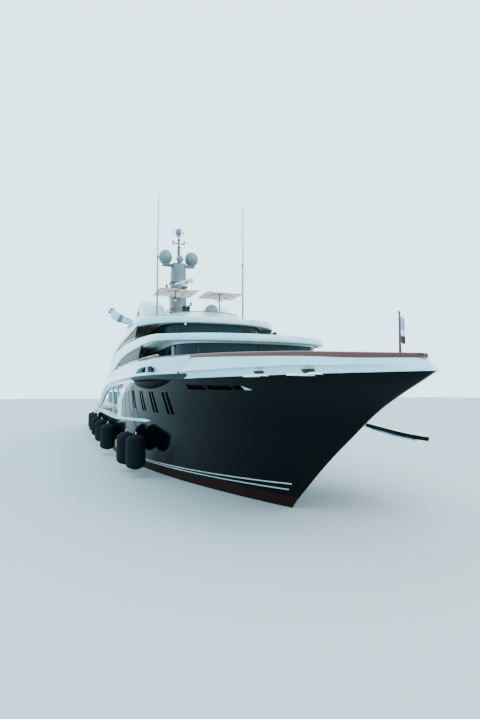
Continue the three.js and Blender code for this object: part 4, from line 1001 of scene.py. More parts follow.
def cap_section(x):
    z = band1_high(x)
    back = -lean(z) - set_back(x, z)
    rounded = [
        (0.06, -0.09), (0.065, 0.07), (0.045, 0.1), (0, 0.115), (-0.24, 0.115), (-0.27, 0.1), (-0.29, 0.07),
        (-0.29, 0.03), (-0.27, 0.004), (-0.01, 0.004), (0.0, -0.11), (0.04, -0.11),
    ]
    return [(back + off, z + up) for off, up in rounded]


cap = strip(both_ways([p for p in bow_path() if p[0] >= 20]), cap_section, MAHOGANY)
assemble("bulwark_cap_rail", [cap], replaces=["cap_rail"])

RUB_FORE, RUB_HALF = 21.2, 0.095


def rub_section(x):
    """A rounded moulding that dies away at its fore end."""
    full = min(1.0, max(0.05, (RUB_FORE - x) / 0.6)) ** 0.5
    middle = look_up(RUB_LOW, x) + RUB_HALF
    return [
        (0.16 * full * math.cos(a) - 0.02, middle + 0.09 * full * math.sin(a)) for a in steps(-1.45, 1.45, 8)
    ] + [(-0.06, middle + 0.085 * full), (-0.06, middle - 0.085 * full)]


rub_path = [(x, half_breadth(x, look_up(RUB_LOW, x) + RUB_HALF) + 0.01) for x in steps(RUB_FORE, -34.4, 70)]
rub_path += [(-34.75, 4.98), (-34.9, 4.6), (-34.97, 3.0), (-34.99, 1.5)]
rub_whole = [(x, -y) for x, y in rub_path] + [(-35.0, 0.0)] + rub_path[::-1]
assemble("rubbing_strake", [strip(rub_whole, rub_section, WHITE)], replaces=["rub_rail"])

# Decks


def deck(name, path, level, low, high, aft, replaces):
    """A laid deck inside a band's line, narrowing towards its aft end."""
    whole = both_ways([(x, min(y, look_up(NARROWING[level], x) + lean(high))) for x, y in path if x >= aft])
    ways = outwards(whole)
    outline = [Vector((x, y, 0)) - way * (0.13 + lean(high)) for (x, y), way in zip(whole, ways)]
    ring = [[Vector((p.x, p.y, z)) for p in outline] for z in (low, high)]
    assemble(name, [lofted(ring, TEAK)], replaces=[replaces])


deck("foredeck_planking", [p for p in bow_path() if p[0] <= 38.9], "upper", 6.151, 6.25, 11, "foredeck")
deck("upper_deck_aft", [p for p in bow_path() if p[0] <= 10], "upper", 6.0, 6.25, -21.5, "upper_deck")
deck("bridge_deck_slab", front_path(*BRIDGE_FRONT, -14), "bridge", 8.45, 8.7, -14, "bridge_deck")
deck("sun_deck_slab", front_path(*SUN_FRONT, -4), "sun", 10.6, 10.85, -4, "sun_deck")

# Deckhouses

HOUSES = {
    "upper": {
        "floor": 6.25, "roof": 8.45, "front": 25.6, "aft": -15, "half": 4.55, "sill": 6.95, "head": 8.22,
        "depth": 3.2, "panes": 1.75,
    },
    "bridge": {
        "floor": 8.7, "roof": 10.6, "front": 18.1, "aft": -7, "half": 3.85, "sill": 9.25, "head": 10.35,
        "depth": 3.0, "panes": 1.55,
    },
}
WALL, DOORWAY, CORNER = 0.16, 1.6, 0.5
BAR_WIDE, BAR_OUT, BAR_THICK = 0.07, 0.004, 0.05


def house_path(house):
    """The house's outline in plan, from one side of the aft doorway to the other."""
    front, depth, half = house["front"], house["depth"], house["half"]
    nose = [front - depth * (i / 20) ** 2 for i in range(21)]
    path = [(x, half * rounded_front(x, front, depth, 3)) for x in nose]
    x, y = house["aft"] + CORNER, half - CORNER
    path += [(x, half) for x in steps(front - depth, x, 22)[1:]]
    path += [(x - CORNER * math.sin(a), y + CORNER * math.cos(a)) for a in steps(0.3, math.pi / 2, 4)]
    path += [(house["aft"], y) for y in (half - 1.2, DOORWAY + 0.4, DOORWAY)]
    return both_ways(path)


def ring_wall(house, section, material):
    return strip(house_path(house), lambda x: section, material)


def slab_section(out, thick, low, high, edge=0.03):
    return [(out - edge, low), (out, low + edge), (out, high - edge), (out - edge, high), (out - thick, high),
            (out - thick, low)]


def along_path(path, gap, start):
    """Points every so many metres along a plan path, with the way out of it at each."""
    found, run, due = [], 0.0, start
    ways = outwards(path)
    for (a, way), b in zip(zip(path, ways), path[1:]):
        long = math.dist(a, b)
        while due <= run + long:
            t = (due - run) / long
            found.append((Vector((a[0] + (b[0] - a[0]) * t, a[1] + (b[1] - a[1]) * t, 0)), way))
            due += gap
        run += long
    return found


def glazing_bar(place, way, low, high):
    """An upright bar on a wall, square to it."""
    side = Vector((-way.y, way.x, 0)) * BAR_WIDE / 2
    face, back = place + way * BAR_OUT, place + way * (BAR_OUT - BAR_THICK)
    ring = [
        [p + Vector((0, 0, z)) for p in (face - side, face + side, back + side, back - side)]
        for z in (low, high)
    ]
    return lofted(ring, RUBBER)


def wiper(place, way, low, high):
    """A window wiper parked aslant on a front window."""
    side = Vector((-way.y, way.x, 0))
    foot = place + way * 0.05 + Vector((0, 0, high - 0.03))
    tip = place + way * 0.06 + side * 0.32 + Vector((0, 0, low + 0.2))
    return [
        rod(foot, tip, 0.012, RUBBER, sides=8),
        rod(foot - way * 0.03, foot + way * 0.02, 0.035, RUBBER, sides=10),
    ]


for name, house in HOUSES.items():
    low, high = house["sill"], house["head"]
    parts = [ring_wall(house, slab_section(*section), material) for material, section in (
        (WHITE, (0, WALL, house["floor"] + 0.001, low)), (WHITE, (0, WALL, high, house["roof"] - 0.001)),
        (RUBBER, (0.015, 0.06, low - 0.035, low + 0.02, 0.01)),
        (RUBBER, (0.015, 0.06, high - 0.02, high + 0.035, 0.01)),
    )]
    path = house_path(house)
    total = sum(math.dist(a, b) for a, b in zip(path, path[1:]))
    panes = round(total / house["panes"])
    bars = along_path(path, total / panes, total / panes / 2)
    for place, way in bars:
        parts.append(glazing_bar(place, way, low, high))
        if place.x > house["front"] - house["depth"]:
            parts += wiper(place, way, low, high)
    assemble(name + "_deckhouse", parts, replaces=[name + "_house_wall"])
    assemble(
        name + "_windows", [
            ring_wall(house, slab_section(-0.02, 0.05, low - 0.03, high + 0.03, 0.01), GLASS)
        ],
        replaces=[name + "_house_glass"],
    )

# Screens between the bands

PANE_BULGE = 0.05
# A grey strip along a screen's head, painted shade under the band above: share of the height, distance
# outwards
PAINTED_SHADE_CORNERS = ((0.9, 0.02), (1.02, 0.02), (1.02, -0.1), (0.9, -0.1))


def screen(side, label, name, low, high, fore, aft):
    """A long pane between two bands, bulging a little, with its sill and a grey strip along its head as
    painted shade under the band above.
    """
    xs = steps(fore, aft, 26)

    def skin(x, share, out):
        z = low(x) + (high(x) - low(x)) * share
        return Vector((x, side * (side_line(x) - lean(z) + out), z))

    pane = [(v, PANE_BULGE * math.sin(math.pi * v) - 0.03) for v in (-0.02, 0.25, 0.5, 0.75, 1.02)]
    pane += [(1.02, -0.08), (-0.02, -0.08)]
    glass = lofted([[skin(x, *corner) for corner in pane] for x in xs], SMOKED)
    sill = pipe([skin(x, 0.03, 0.02) for x in xs], 0.03, STAINLESS)
    shade = lofted([[skin(x, *corner) for corner in PAINTED_SHADE_CORNERS] for x in xs], MAST_GREY)
    assemble(f"{name}_screen_glass_{label}", [glass], replaces=[f"{name}_screen_{label}"])
    assemble(f"{name}_screen_frame_{label}", [sill, shade])


for side, label in SIDES:
    screen(side, label, "lower", band1_high, band2_low, 19.5, 8.9)
    screen(side, label, "upper", band2_high, band3_low, 16, 4.1)

# Sun deck: casings, mast, domes and parasols

CASING_SIDE = [
    (11.4, 0.0), (11.3, 0.35), (11.1, 0.7), (10.4, 1.38), (9.9, 1.74), (9.4, 2.08), (8.8, 2.4), (8.2, 2.67),
    (7.7, 2.83), (7.2, 2.9), (6.7, 2.92), (6.3, 2.86), (5.9, 2.68), (5.5, 2.4), (5.1, 1.95), (4.8, 1.4),
    (4.6, 0.7), (4.5, 0.0),
]
CASING_X, CASING_MIDDLE, CASING_HALF = 7.6, 3.125, 0.975
LOUVRE_LOW, LOUVRE_GAP = 12.4, 0.13


def casing(side):
    """A rounded exhaust casing with louvres in a slot on its outer side and a plinth round its foot."""
    rings = []
    for a in steps(-math.pi / 2, math.pi / 2, 16):
        shrink = 0.80 + 0.20 * max(0, math.cos(a)) ** 0.5
        y = CASING_MIDDLE + CASING_HALF * squarer(math.sin(a), 0.7)
        rings.append(
            [
                Vector((CASING_X + (x - CASING_X) * shrink, side * y, SUN_FEET + up * shrink))
                for x, up in CASING_SIDE
            ]
        )
    shell = lofted(rings, WHITE)
    slot = [Vector((6.9 + 0.62 * math.cos(a), 0, 12.6 + 0.3 * math.sin(a))) for a in round_trip(24)]
    hole = lofted([[p + Vector((0, side * y, 0)) for p in slot] for y in (3.65, 5.0)], RUBBER)
    made = [cut(shell, hole)]
    near, far = sorted((side * 3.68, side * 3.95))
    for i in range(4):
        z = LOUVRE_LOW + LOUVRE_GAP * i
        made.append(block((6.4, near, z), (7.4, far, z + 0.03), MAST_GREY, 0.005))
    return [*made, plinth(side)]


def plinth(side):
    """A low plinth line round the casing's foot."""
    points = []
    for a in round_trip(48):
        x, y = 7.95 + 3.42 * squarer(math.cos(a), 0.4), (CASING_HALF - 0.02) * squarer(math.sin(a), 0.4)
        points.append(Vector((x, side * (CASING_MIDDLE + y), 10.9)))
    return pipe(points, 0.05, WHITE, closed=True)


for side, label in SIDES:
    assemble("exhaust_casing_" + label, casing(side), replaces=["casing_" + label])

MAST_X, DOME_Y = 5.1, 1.3


def oval(z, x0, x1, y):
    """The mast's outline at a height: an oval squared off towards its corners."""
    middle, half, power = (x0 + x1) / 2, (x1 - x0) / 2, 2 / 3.2
    return [
        Vector((middle + half * squarer(math.cos(a), power), y * squarer(math.sin(a), power), z))
        for a in round_trip(28)
    ]

MAST_ROWS = [
    (SUN_DECK, 3.6, 6.2, 0.86), (11.2, 3.64, 6.18, 0.855), (13.0, 3.9, 5.95, 0.8),
    (15.0, 4.15, 5.83, 0.755), (17.0, 4.3, 5.75, 0.72), (17.95, 4.38, 5.71, 0.67),
    (18.05, 4.42, 5.67, 0.63),
]


TOWER_LAMP = [(0, 0), (0.09, 0), (0.1, 0.05), (0.1, 0.2), (0.07, 0.26), (0, 0.27)]
tower = [
    lofted([oval(*row) for row in MAST_ROWS], MAST_GREY),
    block((4.78, -1.58, 17.78), (5.42, 1.58, 17.99), MAST_GREY, 0.06, 3),
    block((5.2, -0.32, 15.2), (7.65, 0.32, 15.38), MAST_GREY, 0.05, 3),
    rod((5.7, 0, 14.5), (7.2, 0, 15.22), 0.07, MAST_GREY),
]
for z in (12.2, 13.5, 14.8, 16.1):
    tower.append(
        block(
            (4.05 + 0.08 * (z - 12), -0.84, z), (6.05 - 0.05 * (z - 12), 0.84, z + 0.035), MAST_GREY, 0.01,
        )
    )
for y, z, reach in (
    (0.78, 16.3, 0.55), (0.8, 14.0, 0.42), (0.82, 12.6, 0.35), (-0.78, 15.6, 0.4), (-0.8, 13.2, 0.35),
):
    out = math.copysign(reach, y)
    tower.append(rod((5.3, y * 0.9, z), (5.3, y + out, z), 0.035, MAST_GREY, sides=12))
    tower.append(block((5.18, y + out - 0.11, z), (5.42, y + out + 0.11, z + 0.05), MAST_GREY, 0.01))
    shade = RUBBER if z in (14.0, 15.6) else LAMP_GLASS
    tower.append(spun(TOWER_LAMP, (5.3, y + out, z + 0.05), shade, sides=16))
for i in range(9):
    z = 11.3 + 0.62 * i
    tower.append(pipe([(6.15 - 0.045 * (z - 10.85) * 1.15, y, z) for y in (-0.2, 0.2)], 0.018, STAINLESS))
assemble("mast_trunk", tower, replaces=["mast_tower"])

pole = [
    rod((MAST_X, 0, 18.051), (MAST_X, 0, 21.0), 0.13, MAST_GREY, 0.075, bevel=0.01),
    rod((MAST_X - 0.01, -0.58, 20.11), (MAST_X - 0.01, 0.58, 20.11), 0.065, MAST_GREY, sides=14, bevel=0.006),
    rod((MAST_X, 0, 18.5), (MAST_X + 0.5, 0, 18.6), 0.05, MAST_GREY),
    spun([(0, 0), (0.1, 0.01), (0.2, 0.07), (0.27, 0.2), (0.29, 0.36), (0.26, 0.52), (0.17, 0.67), (0, 0.74)],
         (MAST_X, 0, 20.92), GELCOAT),
]
for y in (-0.55, 0.55):
    lamp_body = [(0, 0), (0.07, 0), (0.075, 0.02), (0.075, 0.2), (0.05, 0.25), (0, 0.26)]
    pole.append(spun(lamp_body, (MAST_X, y, 20.14), RUBBER, sides=16))
    pole.append(spun([(0, 0), (0.06, 0), (0.06, 0.12), (0, 0.14)], (MAST_X, y, 19.92), LAMP_GLASS, sides=16))
for y in (-0.5, -0.25, 0.5):
    foot = (MAST_X, y, 21.0)
    pole.append(pipe([(MAST_X, 0, 20.8), (MAST_X, y * 0.7, 20.84), foot], 0.028, MAST_GREY))
    pole.append(rod(foot, (MAST_X, y, 21.62), 0.022, MAST_GREY, 0.014, sides=8))
    pole.append(spun([(0, 0), (0.055, 0), (0.055, 0.22), (0, 0.24)], (MAST_X, y, 21.1), RUBBER, sides=14))
for z in (18.75, 19.05, 19.35, 19.65, 20.35):
    housing = [(0, 0), (0.14, 0), (0.15, 0.03), (0.15, 0.15), (0.1, 0.2), (0, 0.21)]
    pole.append(spun(housing, (MAST_X + 0.1, 0, z), MAST_GREY, sides=20))
assemble("mast_pole_and_lamps", pole, replaces=["mast_pole"])

DOME = [
    (0, 0), (0.5, 0), (0.56, 0.03), (0.6, 0.1), (0.74, 0.26), (0.88, 0.42), (0.96, 0.6), (1.0, 0.84),
    (1.0, 1.0), (0.985, 1.2), (0.93, 1.42), (0.84, 1.62), (0.72, 1.79), (0.56, 1.93), (0.38, 2.03),
    (0.19, 2.085), (0, 2.1),
]


def dome(x, y, z, size):
    """A radome with the flange at its seam."""
    seam = [(1.004, 0.80), (1.02, 0.82), (1.02, 0.86), (1.004, 0.88), (0.98, 0.88), (0.98, 0.80)]
    return [
        spun([(r * size, h * size) for r, h in DOME], (x, y, z), GELCOAT, sides=40),
        spun([(r * size, h * size) for r, h in [*seam, seam[0]]], (x, y, z), MAST_GREY, sides=40),
    ]


for side, label in SIDES:
    assemble("radome_cover_" + label, dome(MAST_X, side * DOME_Y, 18.001, 0.65), replaces=["radome_" + label])
assemble("middle_radome", dome(MAST_X + 0.55, 0, 18.1, 0.34))
dome_foot = [(0, 0), (0.17, 0), (0.17, 0.03), (0.1, 0.05), (0.09, 0.62), (0.14, 0.7), (0, 0.7)]
pedestal = spun(dome_foot, (13.2, 0.92, SUN_FEET), GELCOAT)
assemble("deck_dome", [pedestal, *dome(13.2, 0.92, 11.55, 0.55)], replaces=["small_dome"])

turn = Matrix.Translation((7.35, 0, 15.4)) @ Matrix.Rotation(0.34, 4, "Z")
bar = block((-1.45, -0.09, 0.31), (1.45, 0.09, 0.52), WHITE, 0.04, 3)
gearbox = [(0, 0.001), (0.2, 0.001), (0.21, 0.04), (0.21, 0.2), (0.16, 0.27), (0.12, 0.34), (0, 0.35)]
foot = spun(gearbox, (0, 0, 0), WHITE)
for part in (bar, foot):
    part.data.transform(turn)
assemble("open_array_scanner", [bar, foot], "radar_scanner", ["radar_scanner"])

# Fittings on the sun deck


def wind_path():
    nose = [16.2 - 3.4 * (i / 14) ** 2 for i in range(15)]
    return both_ways([(x, 3 * rounded_front(x, 16.2, 3.4, 2.4)) for x in nose] + [(12.4, 3.02), (12, 3.03)])


WIND_FOOT, WIND_HEAD, WIND_TOP = 10.86, 11.55, 11.6


def wind_strip(outer, inner, low, high, material):
    return strip(wind_path(), lambda x: [(outer, low), (outer, high), (inner, high), (inner, low)], material)


assemble("wind_screen_panels", [wind_strip(0, -0.02, WIND_FOOT, WIND_HEAD, ACRYLIC)], replaces=["wind_rail"])
wind_frame = [wind_strip(0.02, -0.05, WIND_HEAD, WIND_TOP, MAST_GREY)]
for place, way in along_path(wind_path(), 0.95, 0.1):
    foot = place - way * 0.04
    wind_frame.append(
        rod(foot + Vector((0, 0, SUN_DECK)), foot + Vector((0, 0, 11.56)), 0.022, STAINLESS, sides=10)
    )
    wind_frame.append(
        block(foot + Vector((-0.06, -0.06, SUN_DECK)), foot + Vector((0.06, 0.06, 10.9)), WHITE, 0.01)
    )
assemble("wind_screen_frame", wind_frame)

for side, label in SIDES:
    x, y = 13.4, side * 3.6
    assemble(
        "whip_aerial_" + label,
        [
            rod((x, y, SUN_DECK), (x, y, 16.2), 0.07, FIBREGLASS, 0.06, bevel=0.008),
            spun(
                [(0, 0), (0.078, 0), (0.078, 0.16), (0.06, 0.2), (0, 0.2)], (x, y, 16.1), MAST_GREY,
                sides=16,
            ),
            rod((x, y, 16.2), (x, y, 21.3), 0.045, FIBREGLASS, 0.03),
            spun([(0, 0), (0.15, 0), (0.15, 0.03), (0.09, 0.05), (0.085, 0.3), (0.065, 0.34), (0, 0.34)],
                 (x, y, SUN_DECK), WHITE, sides=20),
        ],
        replaces=["whip_" + label],
    )

PARASOL_X, PARASOL_TOP = 12.3, 13.9
SLIDER = [(0, 0), (0.08, 0), (0.09, 0.03), (0.09, 0.12), (0.06, 0.16), (0, 0.16)]
FINIAL = [(0, 0), (0.03, 0), (0.06, 0.04), (0.03, 0.1), (0, 0.12)]
PARASOL_FOOT = [(0, 0), (0.24, 0), (0.24, 0.04), (0.08, 0.07), (0, 0.07)]
RIB_ENDS = ((1, 0), (1, 1), (0, 1), (-1, 1), (-1, 0), (-1, -1), (0, -1), (1, -1))


def parasol(y, half, label):
    """A square canopy stretched over eight ribs, with struts from a slider on its pole."""
    count = 16

    def over(a, b, lift):
        reach = max(abs(a), abs(b))
        sag = 0.035 * reach * (1 - abs(math.cos(4 * math.atan2(b, a))))
        return Vector((PARASOL_X + a * half, y + b * half, PARASOL_TOP - 0.24 * reach - sag + lift))

    ways = steps(-1, 1, count)
    sheets = [over(a, b, lift) for lift in (0.0, -0.008) for a in ways for b in ways]
    frame_parts = [
        rod((PARASOL_X, y, SUN_DECK), (PARASOL_X, y, PARASOL_TOP - 0.05), 0.045, MAHOGANY, bevel=0.005),
        spun(SLIDER, (PARASOL_X, y, 12.95), STAINLESS, sides=16),
        spun(FINIAL, (PARASOL_X, y, PARASOL_TOP), MAHOGANY, sides=16),
        spun(PARASOL_FOOT, (PARASOL_X, y, SUN_DECK), MAST_GREY, sides=24),
    ]
    for a, b in RIB_ENDS:
        crown, far = (PARASOL_X, y, PARASOL_TOP - 0.06), over(a * 0.98, b * 0.98, -0.035)
        frame_parts.append(rod(crown, far, 0.014, MAHOGANY, sides=8))
        frame_parts.append(
            rod((PARASOL_X, y, 13.08), over(a * 0.5, b * 0.5, -0.05), 0.012, MAHOGANY, sides=8)
        )
    posts = assemble("parasol_frame_" + label, frame_parts)
    cover = two_sheets(sheets, count, count, CANVAS)
    canopy = assemble("parasol_canopy_" + label, [cover], replaces=["parasol_" + label])


parasol(-1.9, 1.6, "stbd")
parasol(1.9, 1.55, "port")

# Flood lamps in a cluster of four, and the search light that hangs in front of the bridge windows
LAMP_CASE = [(0, 0), (0.1, 0), (0.145, 0.1), (0.145, 0.2), (0.125, 0.2), (0.12, 0.12), (0, 0.1)]
LAMP_FRONT = [(0, 0.12), (0.11, 0.12), (0.1, 0.14), (0, 0.15), (0, 0.12)]
FORWARD = Matrix.Rotation(math.pi / 2, 4, "Y")
lamps = [
    rod((14.0, -1.43, SUN_DECK), (14.0, -1.43, 11.8), 0.05, MAST_GREY, sides=14),
    block((13.86, -1.78, 11.72), (13.98, -1.08, 12.3), MAST_GREY, 0.03),
]
for y, z in ((-1.6, 11.86), (-1.26, 11.86), (-1.6, 12.16), (-1.26, 12.16)):
    lamps.append(spun(LAMP_CASE, (13.98, y, z), RUBBER, FORWARD, 24))
    lamps.append(spun(LAMP_FRONT, (13.98, y, z), GLASS, FORWARD, 24))
assemble("flood_lamps", lamps)
SEARCH_CASE = [(0, -0.07), (0.04, -0.055), (0.07, 0), (0.07, 0.06), (0.055, 0.07), (0, 0.07)]
assemble("search_light", [
    rod((18.6, -2.6, 10.4), (18.6, -2.6, 10.24), 0.03, WHITE, sides=14),
    spun(SEARCH_CASE, (18.6, -2.6, 10.19), WHITE, FORWARD, 24),
])

# Deck crane

CRANE_X, CRANE_Y, PIVOT_Z = 6.4, -4.82, 11.95
PIVOT = Vector((CRANE_X, CRANE_Y + 0.12, PIVOT_Z))
CRANE_FOOT = [
    (0, 0.001), (0.34, 0.001), (0.34, 0.04), (0.24, 0.07), (0.2, 0.3), (0.185, 0.66), (0.2, 0.7),
    (0.2, 0.75), (0, 0.75),
]
BOLT_CIRCLE, BOLT_COUNT = 0.28, 8
post = [
    spun(CRANE_FOOT, (CRANE_X, CRANE_Y, 10.85), WHITE, sides=28),
    rod(PIVOT - Vector((0.24, 0, 0)), PIVOT + Vector((0.24, 0, 0)), 0.048, STAINLESS, bevel=0.01),
]
for x0, x1 in ((-0.22, -0.1), (0.1, 0.22)):
    post.append(
        block((CRANE_X + x0, CRANE_Y - 0.06, 11.5), (CRANE_X + x1, CRANE_Y + 0.3, 12.1), WHITE, 0.025, 3)
    )
for a in round_trip(BOLT_COUNT):
    x, y = CRANE_X + BOLT_CIRCLE * math.cos(a), CRANE_Y + BOLT_CIRCLE * math.sin(a)
    post.append(rod((x, y, 10.88), (x, y, 10.93), 0.025, STAINLESS, sides=6))
assemble("crane_pedestal", post, "crane_post", ["crane_post"])

BOOM_LINE = [  # reach, rise, half width and half height of the jib, which cranks up at its knuckle
    (-0.14, -0.06, 0.06, 0.1), (-0.1, -0.04, 0.13, 0.2), (0.25, 0.06, 0.14, 0.27), (0.75, 0.2, 0.14, 0.33),
    (1.08, 0.3, 0.14, 0.36), (1.3, 0.42, 0.14, 0.36), (1.45, 0.6, 0.135, 0.34), (1.58, 0.84, 0.12, 0.3),
    (1.7, 1.06, 0.1, 0.24), (1.74, 1.12, 0.06, 0.14),
]


def jib_ring(index, wide, high):
    reach, rise = BOOM_LINE[index][:2]
    before, after = BOOM_LINE[max(index - 1, 0)], BOOM_LINE[min(index + 1, len(BOOM_LINE) - 1)]
    up = Vector((0, after[1] - before[1], after[0] - before[0])).normalized()
    centre = PIVOT + Vector((0, -reach, rise))
    return [
        centre + Vector((wide * squarer(math.cos(a), 0.35), 0, 0)) + up * high * squarer(math.sin(a), 0.35)
        for a in round_trip(24)
    ]


tip = PIVOT + Vector((0, -1.72, 1.02))
heel, lug = PIVOT + Vector((0, -0.32, -0.22)), PIVOT + Vector((0, -1.15, 0.06))
boom = [
    lofted([jib_ring(i, row[2], row[3]) for i, row in enumerate(BOOM_LINE)], WHITE),
    lofted([jib_ring(i, BOOM_LINE[i][2] + 0.02, BOOM_LINE[i][3] + 0.02) for i in (3, 4)], MAST_GREY),
    rod(heel, heel.lerp(lug, 0.6), 0.07, MAST_GREY, sides=16, bevel=0.008),
    rod(heel.lerp(lug, 0.6), lug, 0.035, STAINLESS, sides=12),
    rod(tip - Vector((0.13, 0, 0)), tip + Vector((0.13, 0, 0)), 0.12, MAST_GREY, bevel=0.015),
    rod(tip - Vector((0.14, 0.18, 0.25)), tip + Vector((0.14, -0.18, -0.25)), 0.09, RUBBER, bevel=0.01),
    pipe([tip + Vector((0, -0.04, -0.1)), tip + Vector((0, -0.04, -0.34))], 0.012, STAINLESS),
    pipe(
        [tip + Vector((0, -0.04 + 0.05 * math.sin(a), -0.4 + 0.05 * math.cos(a))) for a in steps(0, 4.6, 12)],
        0.014, STAINLESS,
    ),
]
assemble("crane_jib", boom, "crane_boom", ["crane_boom"])

# Jackstaff and flag

STAFF_X = 37.6
STAFF_KNOB = [(0, 0), (0.045, 0.015), (0.05, 0.045), (0.03, 0.08), (0, 0.09)]
STAFF_SOCKET = [(0, 0), (0.1, 0), (0.1, 0.03), (0.06, 0.05), (0.06, 0.2), (0, 0.2)]
assemble(
    "jackstaff_pole",
    [
        rod((STAFF_X, 0, UPPER_FEET), (STAFF_X, 0, 8.15), 0.049, MAHOGANY, 0.03, bevel=0.006),
        spun(STAFF_KNOB, (STAFF_X, 0, 8.14), BRONZE, sides=20),
        spun(STAFF_SOCKET, (STAFF_X, 0, UPPER_FEET), STAINLESS, sides=20),
    ],
    replaces=["jackstaff"],
)


def flag_point(u, v):
    """u runs out along the fly and v down the hoist: the cloth falls in soft folds in still air."""
    wave = 0.055 * math.sin(3.2 * math.pi * u) * (0.4 + 0.6 * u)
    out = 0.24 * u**0.9
    staff = Vector((STAFF_X, 0.036 + 0.012 * v, 8.05 - 0.88 * v))
    return staff + Vector((-0.55 * out + wave, 0.95 * out + 0.55 * wave, -0.1 * u**1.4 * (1 - 0.5 * v)))


FLAG_LOW, FLAG_TALL = 7.1, 0.95  # the cloth's lowest height, and how far it reaches up from there
fly, hoist = 24, 20
cloth = [
    flag_point(u, v) + Vector((0.008 * shift, 0.004 * shift, 0))
    for shift in (0, 1)
    for u in steps(0, 1, fly)
    for v in steps(0, 1, hoist)
]
flag = two_sheets(cloth, fly, hoist, FLAG_CLOTH)
over = flag.data.uv_layers.new(name="cloth")
for loop in flag.data.loops:
    z = flag.data.vertices[loop.vertex_index].co.z
    over.data[loop.index].uv = (0.5, (z - FLAG_LOW) / FLAG_TALL)
flag = assemble("bow_flag", [flag], replaces=["flag"])

# Fenders on their lanyards

FENDER_LOW, FENDER_HIGH, FENDER_RADIUS = 0.45, 2.75, 0.65
EYE_RADIUS = 0.09
FENDER_COLLAR = [(0, 0), (0.13, 0), (0.13, 0.03), (0.06, 0.05), (0, 0.05)]
for number in range(1, 8):
    low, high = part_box(f"fender_{number}")
    x, y = (low[0] + high[0]) / (2 * HALF), (low[1] + high[1]) / (2 * HALF)
    r, tall = FENDER_RADIUS, FENDER_HIGH - FENDER_LOW
    profile = [(0, 0.012), (0.12, 0.012), (0.16, 0.03)]
    profile += [(r * math.cos(a), 0.42 + 0.4 * math.sin(a)) for a in steps(-1.25, 0, 9)]
    profile += [
        (r * (1 - 0.012 * math.sin(math.pi * v)), 0.42 + (tall - 0.84) * v)
        for v in steps(0, 1, 8)[1:-1]
    ]
    profile += [(w, tall - h) for w, h in profile[11::-1]]
    knit = spun(profile, (x, y, FENDER_LOW), FENDER_KNIT, sides=40)
    cover = assemble(f"fender_cover_{number}", [knit], replaces=[f"fender_{number}"])
    ring = [
        (x + EYE_RADIUS * math.cos(a), y, FENDER_HIGH + 0.07 + EYE_RADIUS * math.sin(a))
        for a in round_trip(20)
    ]
    eye = pipe(ring, 0.025, STAINLESS, closed=True)
    collar = spun(FENDER_COLLAR, (x, y, FENDER_HIGH - 0.03), RUBBER, sides=20)
    assemble(f"fender_eye_{number}", [eye, collar])
    if x > 10:
        top = Vector((x, -edge(x) - 0.08, 6.17))
    else:
        top = Vector((x, -half_breadth(x, look_up(RUB_LOW, x)) - 0.17, look_up(RUB_LOW, x) + 0.12))
    foot = Vector((x, y, FENDER_HIGH + 0.04))
    line = [top + (foot - top) * t for t in steps(0, 1, 12)]
    rope = assemble(f"fender_lanyard_{number}", [pipe(line, 0.018, ROPE, roundness=3)])

# Shell door in the port bow

DOOR_PANEL = 0.2
panel = door_slab(DOOR_CLEAR, 0.0, -DOOR_PANEL, NAVY, DOOR_CORNER)
liner = door_slab(0.3, -DOOR_PANEL + 0.01, -DOOR_PANEL - 0.02, WHITE)
door_parts = [panel, liner]


def rib_corners(deep):
    return (-0.05, -DOOR_PANEL), (-0.05, -deep), (0.05, -deep), (0.05, -DOOR_PANEL)


for u in steps(0.75, DOOR["long"] - 0.75, 5):
    run = steps(0.45, DOOR["high"] - 0.45, 8)
    door_parts.append(
        lofted([[door_point(u + a, v, lift) for a, lift in rib_corners(0.32)] for v in run], WHITE)
    )
for v in (0.6, DOOR["high"] / 2, DOOR["high"] - 0.6):
    run = steps(0.6, DOOR["long"] - 0.6, 10)
    door_parts.append(
        lofted([[door_point(u, v + b, lift) for b, lift in rib_corners(0.3)] for u in run], WHITE)
    )
for spot in DOOR_KNUCKLES:
    door_parts += knuckle(DOOR["from"], DOOR["along"], DOOR["out"], spot + KNUCKLE_LONG + SEAT, False)
for part in door_parts:
    part.data.transform(DOOR_TURN)
assemble("shell_door_panel", door_parts, "shell_door", ["shell_door"], crease=30)

# Windows and fittings in the hull's sides

assemble("hull_windows", hull_lights(-SUNK + 0.03, -SUNK + 0.001, DEADLIGHT))
vents = []
for x in steps(32.1, 32.4, 4):
    low = look_up(SLIT_LOW, x)
    blade = [(a, low, look_up(SLIT_HIGH, a)) for a in (x, x + 0.05)]
    vents += both(patch(blade, 0.012, -0.02, WHITE))
assemble("air_inlets", vents)

FAIRLEADS = [  # fore and aft ends of each opening, and of its chafing plates with their heights
    ((33.42, 33.74), ((33.0, 33.5, 6.15), (33.56, 33.95, 6.17))),
    ((35.5, 35.86), ((35.02, 35.44, 6.15), (35.48, 35.8, 6.13), (35.84, 36.12, 6.17))),
]
fairleads = []


def along_foot(start, end, corners, material):
    """A bar that follows the bulwark's foot, with a section of (distance outwards, height)."""
    return lofted([[Vector((x, edge(x) + o, z)) for o, z in corners] for x in steps(start, end, 6)], material)


